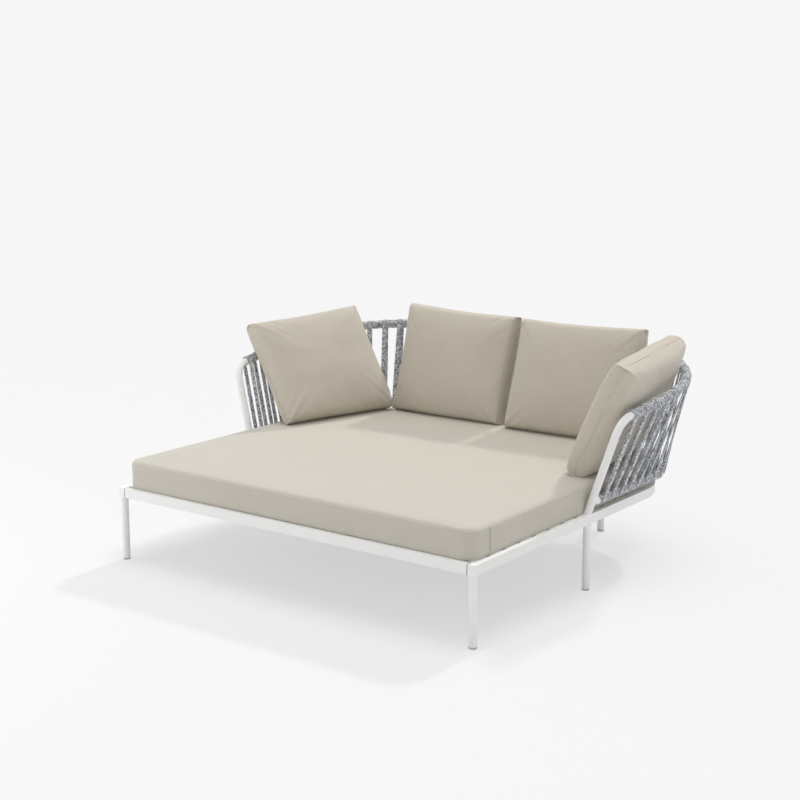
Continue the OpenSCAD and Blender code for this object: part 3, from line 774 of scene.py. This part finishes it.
    def winding(self, rail: Rail, first: int, last: int, dice: np.random.Generator) -> list[Mesh]:
        """All turns between two strands of one rail."""
        turns = []
        for index in range(first, last):
            begin = self.place_of(rail, index) + self.slot_half
            end = self.place_of(rail, index + 1) - self.slot_half
            if index < 0:
                begin = rail.begin
            if index >= self.count - 1:
                end = 2 * rail.half - rail.begin
            spans = [(begin, end)]
            behind = abs(abs(index + 0.5 - self.middle) - self.post_strand - 0.5) < 0.1
            if behind and rail is self.low:
                mid = (begin + end) / 2
                spans = [(begin, mid - self.post_clear), (mid + self.post_clear, end)]
            for span_begin, span_end in spans:
                length = span_end - span_begin
                number = max(1, round(length / self.turn_width))
                step = length / number
                for k in range(number):
                    start = span_begin + k * step + self.gap
                    end = span_begin + k * step + step - self.gap
                    skew = float(dice.uniform(*self.skews)) * MM if length > self.leaning else 0.0
                    turns.append(self.wrap(rail, start, end, skew, float(dice.uniform(0, 6))))
        return turns

    def make(self) -> None:
        """Builds the strands and the winding and puts them in the place of their nodes."""
        dice = np.random.default_rng(7)
        for part, numbers in {
            "arm_right": range(0, 6),
            "corner_right": range(6, 16),
            "back": range(16, 27),
            "corner_left": range(27, 37),
            "arm_left": range(37, self.count),
        }.items():
            mesh = gather([self.strand(i, dice) for i in numbers])
            self.shop.piece(f"braid_strands_{part}", mesh, "frame", Slot.ROPE, [f"rope_strands_{part}"])
        spans = {"right": (-1, 15), "back": (15, 27), "left": (27, self.count)}
        for rail, word in ((self.top, "top"), (self.low, "low")):
            for side, span in spans.items():
                mesh = gather(self.winding(rail, *span, dice))
                name = f"braid_turns_{word}_{side}"
                self.shop.piece(name, mesh, "frame", Slot.ROPE, [f"rope_wrap_{word}_{side}"])


def points_of(mesh: Mesh) -> Array:
    """A mesh's points as rows."""
    return pull(mesh.vertices, "co")


def set_points(mesh: Mesh, rows: Array) -> None:
    """Writes a mesh's points."""
    mesh.vertices.foreach_set("co", np.ascontiguousarray(rows, dtype=np.float32).ravel())
    mesh.update()


def waves(rows: Array, scale: "Sequence[float] | float" = 1.0, shift: Sequence[float] = (0, 0, 0)) -> Array:
    """Smooth noise at rows of points, which are scaled and then shifted."""
    return np.array([noise.noise(Vector(row)) for row in rows * scale + shift])


def height_at(bed: BVHTree, x: float, y: float) -> float:
    """A surface's height at a place, or minus infinity where there is none."""
    hit = bed.ray_cast(Vector((x, y, 1.0)), Vector((0, 0, -1)))[0]
    return -math.inf if hit is None else hit.z


def laid(tree: BVHTree, line: Array, lift: float) -> Array:
    """A line laid on a surface, a little over it."""
    hits = [tree.find_nearest(Vector(point)) for point in line]
    return np.array([np.array(hit[0]) + lift * np.array(hit[1]) for hit in hits])


def surface(mesh: Mesh) -> BVHTree:
    """A mesh's surface for finding points on it."""
    bm = bmesh.new()
    bm.from_mesh(mesh)
    tree = BVHTree.FromBMesh(bm)
    bm.free()
    return tree


def lay_cloth(mesh: Mesh) -> None:
    """Maps a cushion's fabric flat on each side that it faces, in metres."""
    layer = mesh.uv_layers.get("cloth") or mesh.uv_layers.new(name="cloth")
    axis = np.abs(pull(mesh.polygons, "normal")).argmax(axis=1)
    axis = np.repeat(axis, pull(mesh.polygons, "loop_total", 1, np.int32)[:, 0])
    rows = points_of(mesh)[pull(mesh.loops, "vertex_index", 1, np.int32)[:, 0]]
    u = np.where(axis == 0, rows[:, 1], rows[:, 0])
    v = np.where(axis == 2, rows[:, 1], rows[:, 2])
    layer.data.foreach_set("uv", np.stack([u, v], axis=1).astype(np.float32).ravel())


def modified(source: bpy.types.Object) -> Mesh:
    """A new mesh with an object's modifiers applied."""
    graph = bpy.context.evaluated_depsgraph_get()
    return bpy.data.meshes.new_from_object(source.evaluated_get(graph))


def subdivided(mesh: Mesh) -> Mesh:
    """A copy of a mesh, smoothly subdivided once. The mesh itself is removed."""
    holder = placed("smoothing", mesh)
    finer = holder.modifiers.new("finer", "SUBSURF")
    finer.levels = finer.render_levels = 1
    made = modified(holder)
    bpy.data.objects.remove(holder)
    bpy.data.meshes.remove(mesh)
    return made


@dataclass(frozen=True)
class Swelling:
    """How a stuffed piece is blown up by a cloth simulation.

    Points move by a share of what the simulation moves them, at most by the cap's share.
    """

    voxel: float = 7 * MM
    pressure: float = 4.0
    frames: int = 20
    cap: float = 24 * MM
    share: float = 0.28
    stiffness: float = 14.0

    def run(self, mesh: Mesh, pinned: Callable[[Array], Array]) -> Mesh:
        """Remeshes a closed form evenly and swells it.

        Args:
            mesh: The slack form, which is removed.
            pinned: Gives each point's hold, 0 to 1, from its place.

        Returns:
            The swollen mesh, subdivided once.
        """
        holder = placed("slack_form", mesh)
        scene = bpy.context.scene
        even = holder.modifiers.new("even", "REMESH")
        even.mode = "VOXEL"
        even.voxel_size = self.voxel
        remeshed = modified(holder)
        holder.modifiers.clear()
        holder.data = remeshed
        bpy.data.meshes.remove(mesh)
        before = points_of(remeshed)
        hold = holder.vertex_groups.new(name="hold")
        for index, weight in enumerate(pinned(before)):
            if weight > 0.01:
                hold.add([index], float(weight), "REPLACE")
        cloth = holder.modifiers.new("cloth", "CLOTH").settings
        for key, value in {
            "quality": 5,
            "mass": 0.3,
            "tension_stiffness": self.stiffness,
            "compression_stiffness": self.stiffness,
            "shear_stiffness": 5.0,
            "bending_stiffness": 0.4,
            "vertex_group_mass": "hold",
            "pin_stiffness": 1.0,
            "use_pressure": True,
            "uniform_pressure_force": self.pressure,
        }.items():
            setattr(cloth, key, value)
        cloth.effector_weights.gravity = 0.0
        for number in range(1, self.frames + 1):
            scene.frame_set(number)
        swollen = modified(holder)
        after = points_of(swollen)
        bpy.data.meshes.remove(swollen)
        move = after - before
        length = np.linalg.norm(move, axis=1, keepdims=True)
        move *= self.share * np.minimum(1.0, self.cap / np.maximum(length, 1e-9))
        holder.modifiers.clear()
        set_points(remeshed, before + move)
        scene.frame_set(1)
        bpy.data.objects.remove(holder)
        return subdivided(remeshed)


@dataclass
class Pillow:
    """A loose pillow with boxed corners: two sheets that meet in a seam round its middle.

    The seam's groove has a depth and a half width, its puckers a height, a pitch and a reach,
    and the corners' creases a height and a pitch.
    """

    shop: Workshop
    name: str
    place: Triple
    yaw: float
    roll: float
    lean: float
    seed: float
    width: float = 0.596
    height: float = 0.488
    thick: float = 0.164
    edge: float = 0.076
    rim: float = 8 * MM
    draw: float = 0.03
    slack: float = 0.98
    press: float = 4 * MM
    tuck: float = 12 * MM
    firm: float = 3.6
    cuts: int = 23
    groove: Pair = (2.6 * MM, 3.6 * MM)
    pucker: Triple = (0.9 * MM, 34 * MM, 16 * MM)
    fold: float = 4.2 * MM
    crease: Pair = (1.5 * MM, 46 * MM)
    resting: float = 0.2
    lift: float = 0.3 * MM

    def _swell(self, a: Array, b: Array) -> Array:
        """Half the thickness at shares across and up."""
        full = [np.sqrt(np.clip(1 - np.abs(x) ** self.firm, 0, 1)) for x in (a, b)]
        return self.edge / 2 + (self.thick * self.slack - self.edge) / 2 * full[0] * full[1]

    def form(self) -> Mesh:
        """The slack form, upright on its bottom seam, with its face to -Y."""
        bm = bmesh.new()
        bmesh.ops.create_cube(bm, size=2.0)
        bmesh.ops.subdivide_edges(bm, edges=bm.edges, cuts=self.cuts, use_grid_fill=True)
        rows = np.array([v.co for v in bm.verts])
        a, c, b = np.sin(rows[:, 0] * math.pi / 2), rows[:, 1], np.sin(rows[:, 2] * math.pi / 2)
        rim = self.rim * c * c
        x = a * (self.width / 2 - rim) * (1 - self.draw * (1 - b * b))
        z = self.height / 2 + b * (self.height / 2 - rim) * (1 - self.draw * (1 - a * a))
        for vert, point in zip(bm.verts, np.stack([x, c * self._swell(a, b), z], axis=1)):
            vert.co = point
        return mesh_of(bm, "pillow_form")

    def _seam_share(self, rows: Array) -> Array:
        """How near each point is to the seam's rim, 1 on it."""
        a = np.abs(rows[:, 0]) / (self.width / 2)
        b = np.abs(rows[:, 2] - self.height / 2) / (self.height / 2)
        outer = np.clip((np.maximum(a, b) - 0.93) / 0.05, 0, 1)
        return outer * np.clip(1.15 - np.abs(rows[:, 1]) / (26 * MM), 0.25, 1)

    def _ripple(self, mesh: Mesh) -> None:
        """Adds the seam's groove, the puckers beside it and broad soft folds."""
        rows, normal = points_of(mesh), pull(mesh.vertex_normals, "vector")
        x, y, z = rows[:, 0], rows[:, 1], rows[:, 2] - self.height / 2
        a, b = x / (self.width / 2), z / (self.height / 2)
        outer = np.maximum(np.abs(a), np.abs(b))
        rimmed = np.clip((outer - 0.86) / 0.1, 0, 1)
        deep, half = self.groove
        groove = -deep * np.exp(-((y / half) ** 2)) * rimmed
        along = np.where(np.abs(a) > np.abs(b), z, x)
        wobble = waves(np.stack([along * 9.0, 0 * x + self.seed, 0 * x + 0.3], axis=1))
        high, pitch, reach = self.pucker
        pucker = np.sin(along * 2 * math.pi / pitch + 5 * wobble + self.seed)
        near = np.exp(-np.abs(y) / reach) * rimmed
        fold = waves(rows, 5.5, (self.seed, 0, 0)) + 0.45 * waves(rows, 13.0, (0, self.seed, 0))
        corner = np.clip(np.abs(a) + np.abs(b) - 1.25, 0, 1) * (outer < 0.97)
        rise, run = self.crease
        crease = np.sin((np.abs(x) - np.abs(z)) * 2 * math.pi / run + self.seed) * corner
        height = groove + pucker * near * high + fold * self.fold * (1 - 0.6 * rimmed) + crease * rise
        rows = rows + normal * height[:, None]
        below = (1 - np.abs(b)) * self.height / 2
        step = np.clip(below / (4 * MM) - 0.5, 0, 1) * np.exp(-below / (38 * MM))
        across = np.clip(1.5 - np.abs(y) / (self.edge / 2), 0, 1)
        sided = np.clip((np.abs(a) - 0.93) / 0.03, 0, 1)
        rows[:, 0] -= np.sign(x) * self.tuck * step * across * sided
        set_points(mesh, rows)

    def _walk(self) -> list[Array]:
        """The seam's line round the rim, and the short cross seam of each boxed corner."""
        ticks = np.sin(np.linspace(-1, 1, 61) * math.pi / 2)
        edge = [(t, -1.0) for t in ticks[:-1]] + [(1.0, t) for t in ticks[:-1]]
        edge += [(t, 1.0) for t in ticks[:0:-1]] + [(-1.0, t) for t in ticks[:0:-1]]
        a, b = np.array(edge).T
        lines = [np.stack([a * self.width / 2, 0 * a, self.height / 2 * (1 + b)], axis=1)]
        reach = np.linspace(-1, 1, 17) * (self.edge / 2 - 1 * MM)
        zero = 0 * reach
        for x in (-self.width / 2, self.width / 2):
            for z in (0.0, self.height):
                lines.append(np.stack([zero + x, reach, zero + z], axis=1))
        return lines

    def seams(self, mesh: Mesh) -> Mesh:
        """The raised stitch line in the groove, laid on the finished surface."""
        tree = surface(mesh)
        tubes = []
        for number, line in enumerate(self._walk()):
            closed = number == 0
            path = laid(tree, line, 0.25 * MM)
            for _ in range(2):
                if closed:
                    path = (np.roll(path, 1, axis=0) + 2 * path + np.roll(path, -1, axis=0)) / 4
                else:
                    path[1:-1] = (path[:-2] + 2 * path[1:-1] + path[2:]) / 4
            tubes.append(thread(path, 1.5 * MM, closed))
        return gather(tubes)

    def _turned(self) -> Matrix:
        """Takes the upright pillow to its place on the mattress."""
        turn = Matrix.Rotation(math.radians(self.yaw), 4, "Z")
        lean = Matrix.Rotation(-math.radians(self.lean), 4, "X")
        roll = Matrix.Rotation(-math.radians(self.roll), 4, "Y")
        return Matrix.Translation(self.place) @ turn @ lean @ roll

    def settle(self, upright: list[Mesh], bed: BVHTree) -> None:
        """Puts the pillow and its stitches in place, sagging and flattened on the mattress.

        Args:
            upright: The meshes, the pillow itself first, still upright.
            bed: The mattress's surface.
        """
        stations = np.linspace(-0.45, 0.45, 7) * self.width
        drops: list[float] = []
        for mesh in upright:
            across = points_of(mesh)[:, 0]
            share = np.clip(points_of(mesh)[:, 2] / self.height, 0, 1)
            low = share < self.resting
            mesh.transform(self._turned())
            rows = points_of(mesh)
            for station in stations[len(drops):]:
                near = rows[(np.abs(across - station) < 0.06 * self.width) & low]
                lowest = near[np.argsort(near[:, 2])[:12]]
                gap = min((z - height_at(bed, x, y) for x, y, z in lowest), default=0.0)
                drops.append((gap if math.isfinite(gap) else 0.0) + self.press)
            rows[:, 2] -= np.interp(across, stations, drops) * (1 - share) ** 3
            rows[low, 2] = [max(z, height_at(bed, x, y) + self.lift) for x, y, z in rows[low]]
            set_points(mesh, rows)
        LOG.info("%s sags by %s mm", self.name, [round(drop / MM, 1) for drop in drops])

    def make(self, bed: BVHTree) -> None:
        """Builds the pillow and its seams."""
        mesh = Swelling().run(self.form(), self._seam_share)
        self._ripple(mesh)
        lay_cloth(mesh)
        stitches = self.seams(mesh)
        self.settle([mesh, stitches], bed)
        body, slot, finish = f"{self.name}_pillow", Slot.PILLOWS, self.shop.finishes.stitching
        made = self.shop.piece(f"cushion_{self.name}", mesh, body, slot, [f"pillow_{self.name}"])
        self.shop.piece(f"seam_{self.name}", stitches, body, slot, finish=finish)


def thread(path: Array, radius: float, closed: bool) -> Mesh:
    """A thin round thread along a path.

    Args:
        path: Its points.
        radius: Half its thickness.
        closed: Whether its ends meet.

    Returns:
        Its closed mesh.
    """
    points = np.vstack([path, path[:1]]) if closed else path
    steps = len(points) - 1
    ahead = np.roll(path, -1, axis=0) - np.roll(path, 1, axis=0) if closed else np.gradient(path, axis=0)
    ahead = units(np.vstack([ahead, ahead[:1]]) if closed else ahead)
    side = np.cross(ahead, np.array([0.0, 1.0, 0.02]))
    steep = np.linalg.norm(side, axis=1)[:, None] < 0.2
    side = np.where(steep, [1.0, 0.0, 0.0], units(side))
    up = units(np.cross(side, ahead))
    length = float(np.linalg.norm(np.diff(points, axis=0), axis=1).sum())
    taper = np.ones(steps + 1)
    if not closed:
        taper[[0, -1]] = 0.02

    def bend(u: Array, v: Array) -> Array:
        """Lays the grid round the path."""
        k = np.rint(u * steps).astype(int)
        angle = 2 * math.pi * v
        ring = side[k] * np.cos(angle)[:, None] + up[k] * np.sin(angle)[:, None]
        return points[k] + ring * (radius * taper[k])[:, None]

    return carpet(steps, 6, bend, (length, 2 * math.pi * radius))


@dataclass
class Mattress:
    """The boxed seat mattress: a firm core in a fitted cover with soft edges.

    Its rings are pairs of an inset in millimetres and a share of the height. They run inward
    under it, up its side and inward on its top.
    """

    shop: Workshop
    half_w: float = 0.833
    front: float = 0.021
    back: float = 1.493
    front_r: float = 0.055
    back_r: float = 0.2108
    base: float = 0.3001
    thick: float = 0.1162
    draw: float = 1.2 * MM
    cells: int = 76
    corner_cells: int = 7
    seam_inset: float = 2.8 * MM
    seam_share: float = 0.87
    joint_y: float = 0.131
    under: Rings = ((2.5, 0.0), (12, 0.0), (50, 0.0), (100, 0.0))
    side: Rings = (
        *((2.5, 0.0), (1.4, 0.003), (0.9, 0.012), (0.6, 0.04), (0.3, 0.09)),
        *((0.1, 0.17), (0.3, 0.30), (0.9, 0.42), (0.9, 0.54), (0.3, 0.66)),
        *((0.0, 0.74), (0.5, 0.80), (1.8, 0.85), (4.2, 0.89), (8, 0.925)),
    )
    top: Rings = (
        *((8, 0.925), (13, 0.947), (20, 0.962), (30, 0.974)),
        *((44, 0.985), (60, 0.991), (80, 0.997), (100, 1.0)),
    )

    def outline(self, inset: float, turn: Array) -> Array:
        """Points of the outline at an inset.

        Args:
            inset: How far the outline lies inside the widest one.
            turn: Places round it, 0 to 4, with the corners' middles at the whole numbers
                and the right front corner at 0.

        Returns:
            Rows of x and y.
        """
        w, y0, y1 = self.half_w - inset, self.front + inset, self.back - inset
        front_r, back_r = (max(4 * MM, r - inset) for r in (self.front_r, self.back_r))
        corners = [(w, y0, front_r), (w, y1, back_r), (-w, y1, back_r), (-w, y0, front_r)]
        share = self.corner_cells / self.cells
        rows = np.zeros((len(turn), 2))
        for k in range(4):
            (*a, ar), (*b, br) = corners[k], corners[(k + 1) % 4]
            a, b = np.array(a), np.array(b)
            ahead = (b - a) / np.linalg.norm(b - a)
            outward = np.array([ahead[1], -ahead[0]])
            mask = (np.floor(turn).astype(int) % 4) == k
            t = turn[mask] % 1.0
            p = a + ar * (ahead - outward)
            q = b - br * (ahead + outward)
            first = np.clip(t / share, 0, 1)[:, None]
            last = np.clip((1 - t) / share, 0, 1)[:, None]
            mid = np.clip((t - share) / (1 - 2 * share), 0, 1)[:, None]
            reach = ar + (br - ar) * mid - self.draw * 4 * mid * (1 - mid)
            angle = math.pi / 4 * (1 - first)
            begin = p + ar * (outward * np.cos(angle) - ahead * np.sin(angle))
            angle = math.pi / 4 * (1 - last)
            end = q + br * (outward * np.cos(angle) + ahead * np.sin(angle))
            straight = p + (q - p) * mid + outward * reach
            rows[mask] = np.where(first < 1, begin, np.where(last < 1, end, straight))
        return rows

    def _blank(self) -> bmesh.types.BMesh:
        """A cube of 2 with the mattress's cells on its top and bottom and its rows on the sides."""
        bm = bmesh.new()
        bmesh.ops.create_cube(bm, size=2.0)
        for upright, cuts in ((False, self.cells - 1), (True, len(self.side) - 2)):
            edges = [e for e in bm.edges if (abs(e.verts[0].co.z - e.verts[1].co.z) > 0.1) == upright]
            bmesh.ops.subdivide_edges(bm, edges=edges, cuts=cuts, use_grid_fill=True)
        return bm

    def make(self) -> BVHTree:
        """Builds the mattress, its seams and its soft irregularities, and returns its surface."""
        bm = self._blank()
        rows = np.array([v.co for v in bm.verts])
        a, b, c = rows.T
        ring = np.maximum(np.abs(a), np.abs(b))
        safe = np.maximum(ring, 1e-9)
        u, v = a / safe, b / safe
        edge = np.argmax(np.stack([u, v, -u, -v]), axis=0)
        turn = edge + 0.5 + np.choose(edge, [v, -u, -v, u]) / 2
        turn = np.where(turn >= 4, turn - 4, turn)
        number = np.rint((1 - ring) * self.cells / 2).astype(int)
        lap = np.abs(c) > 0.999
        step = np.rint((c + 1) / 2 * (len(self.side) - 1)).astype(int)
        levels = [(~lap & (step == k), *ring, 0.0) for k, ring in enumerate(self.side)]
        for face, rings in ((c > 0.999, self.top), (c < -0.999, self.under)):
            last = len(rings) - 1
            for k in range(self.cells // 2 + 1):
                inner = max(0, k - last) / (self.cells / 2 - last)
                levels.append((face & (number == k), *rings[min(k, last)], inner))
        spots = np.zeros((len(rows), 3))
        centre = np.array([0.0, (self.front + self.back) / 2])
        for mask, inset, share, inner in levels:
            flat = self.outline(inset * MM, turn[mask]) * (1 - inner) + centre * inner
            spots[mask] = np.column_stack([flat, np.full(len(flat), share)])
        for vert, (x, y, share) in zip(bm.verts, spots):
            vert.co = (x, y + FRONT_Y, self.base + self.thick * share)
        bmesh.ops.recalc_face_normals(bm, faces=bm.faces)
        mesh = subdivided(mesh_of(bm, "mattress_form"))
        self._soften(mesh)
        lay_cloth(mesh)
        made = self.shop.piece("cushion_seat", mesh, "seat_mattress", Slot.MATTRESS, ["mattress"])
        bed = surface(mesh)
        finishes = self.shop.finishes
        # The joints' dark threads are painted shade of the border's grooves.
        for name, mesh, finish in (
            ("seam_seat", self.seams(bed), finishes.stitching),
            ("joint_shade_seat", self.joints(bed), finishes.groove_shade),
        ):
            self.shop.piece(name, mesh, "seat_mattress", Slot.MATTRESS, finish=finish)
        return bed

    def _soften(self, mesh: Mesh) -> None:
        """Adds the cover's slow waves and faint puckers, and leaves the underside flat."""
        rows, normal = points_of(mesh), pull(mesh.vertex_normals, "vector")
        share = (rows[:, 2] - self.base) / self.thick
        wave = waves(rows, (2.3, 2.3, 4), (0, 0, 0.7)) + 0.5 * waves(rows, (6.5, 6.5, 9), (0, 0, 3.1))
        fine = waves(rows, (30, 30, 9))
        above = np.clip(share * 6, 0, 1)
        sided = np.clip(1 - np.abs(normal[:, 2]) * 1.4, 0, 1)
        height = above * (wave * (0.9 + 0.9 * sided) + fine * 0.35 * sided) * MM
        set_points(mesh, rows + normal * height[:, None])

    def seams(self, tree: BVHTree) -> Mesh:
        """The stitch line under the top edge."""
        flat = self.outline(self.seam_inset, np.arange(0, 4, 1 / 90)) + (0.0, FRONT_Y)
        high = np.full(len(flat), self.base + self.seam_share * self.thick)
        return thread(laid(tree, np.column_stack([flat, high]), 0.1 * MM), 0.9 * MM, True)

    def joints(self, tree: BVHTree) -> Mesh:
        """The upright joints of the border, one near each front corner: dark threads that paint the shade
        in their grooves.
        """
        heights = self.base + self.thick * np.linspace(0.05, self.seam_share, 21)
        threads = []
        for side in Side:
            spot = (side.value * self.half_w, self.joint_y + FRONT_Y)
            line = np.array([(*spot, height) for height in heights])
            threads.append(thread(laid(tree, line, 0.1 * MM), 1.5 * MM, False))
        return gather(threads)


@dataclass
class Studio:
    """The floor, the plain studio light and the photograph's camera."""

    white: float = 0.923
    floor_share: float = 0.34
    floor_half: float = 30.0
    daylight: float = 1.16
    sky: float = 0.52
    sun: float = 1.15
    overhead: float = 1.25
    front: float = 60.0
    lens: float = 67.5
    eye: Triple = (3.522, -4.005 + FRONT_Y, 1.848)
    aim: Triple = (0.0268, 0.700 + FRONT_Y, 0.6504)

    def floor(self) -> None:
        """A pale floor that keeps the daybed's shadow and shows as the backdrop's white."""
        shader = Shader("studio_floor")
        grain = shader.grain(shader.place(), 3.0)
        pale = shader.ramp(grain, [(0.0, (0.80,) * 3), (1.0, (0.84,) * 3)])
        bounce = shader.node("BsdfDiffuse", {"Color": pale})
        shade = shader.node("BsdfDiffuse", {"Color": (self.floor_share,) * 3})
        strength = self.white - self.daylight * self.floor_share
        glow = shader.node("Emission", {"Color": 1.0, "Strength": strength})
        lit = shader.node("AddShader", [shade, glow])
        mixed = shader.node("MixShader", [shader.seen(), bounce, lit])
        output = next(n for n in shader.tree.nodes if n.type == "OUTPUT_MATERIAL")
        shader.tree.links.new(mixed.socket, output.inputs["Surface"])
        shader.tree.nodes.remove(shader.surface)
        bm = bmesh.new()
        bmesh.ops.create_grid(bm, x_segments=4, y_segments=4, size=self.floor_half)
        mesh = mesh_of(bm, "studio_floor")
        mesh.materials.append(shader.owner)
        placed("studio_floor", mesh)

    def world(self) -> None:
        """A plain sky: dimmer for the light than for the camera."""
        shader = Shader("studio", bpy.data.worlds)
        level = shader.range(shader.seen(), self.sky, self.white)
        bpy.context.scene.world = shader.finish(Color=1.0, Strength=level)

    def lamps(self) -> None:
        """The key from behind, a broad light from above and a soft one near the left front."""
        origin, up = (0.0, 0.0, 0.0), (0.0, 0.0, 1.0)
        for name, kind, energy, soft, toward, place in (
            ("key", "SUN", self.sun, math.radians(5.0), (-0.047, 0.739, 0.672), origin),
            ("overhead", "SUN", self.overhead, math.radians(45.0), (0.05, 0.05, 1.0), origin),
            ("front", "POINT", self.front, 0.7, up, (-2.5, -2.7, 1.1)),
        ):
            lamp = bpy.data.lights.new(name, kind)
            lamp.energy = energy
            setattr(lamp, "angle" if kind == "SUN" else "shadow_soft_size", soft)
            made = placed(name, lamp)
            made.rotation_mode = "QUATERNION"
            made.rotation_quaternion = Vector(toward).to_track_quat("Z", "Y")
            made.location = place
            made.visible_camera = made.visible_glossy = False

    def camera(self) -> None:
        """The photograph's viewpoint and angle of view."""
        data = bpy.data.cameras.new("photograph")
        data.lens = self.lens
        data.sensor_width = 36.0
        made = placed("photograph", data)
        made.location = self.eye
        made.rotation_mode = "QUATERNION"
        made.rotation_quaternion = (Vector(self.aim) - made.location).to_track_quat("-Z", "Y")
        bpy.context.scene.camera = made

    def make(self) -> None:
        """Sets the scene up."""
        bpy.context.scene.view_settings.view_transform = "Standard"
        self.camera()
        self.floor()
        self.world()
        self.lamps()
        LOG.info("studio is ready")


def pillows(shop: Workshop) -> list[Pillow]:
    """The four pillows in their places."""
    return [
        Pillow(shop, "left", (-0.639, 1.149 + FRONT_Y, 0.443103), 73, 4, 33.47, 1.3),
        Pillow(shop, "back_left", (-0.262, 1.453 + FRONT_Y, 0.41613), 0, -1.5, 13.866, 4.1),
        Pillow(shop, "back_right", (0.366, 1.427 + FRONT_Y, 0.417307), 3, 0, 19.1446, 7.7),
        Pillow(shop, "right", (0.711, 1.131 + FRONT_Y, 0.436896), -82.5, -3.5, 25.0821, 9.2),
    ]


def main() -> None:
    """Builds the scene."""
    logging.basicConfig(level=logging.INFO, format="%(name)s: %(message)s")
    Studio().make()
    finishes = Finishes()
    finishes.dress_frame()
    shop = Workshop(finishes)
    JointShadeSheets(shop).make()
    RopeWork(shop).make()
    bed = Mattress(shop).make()
    for pillow in pillows(shop):
        pillow.make(bed)


if __name__ == "__main__":
    main()
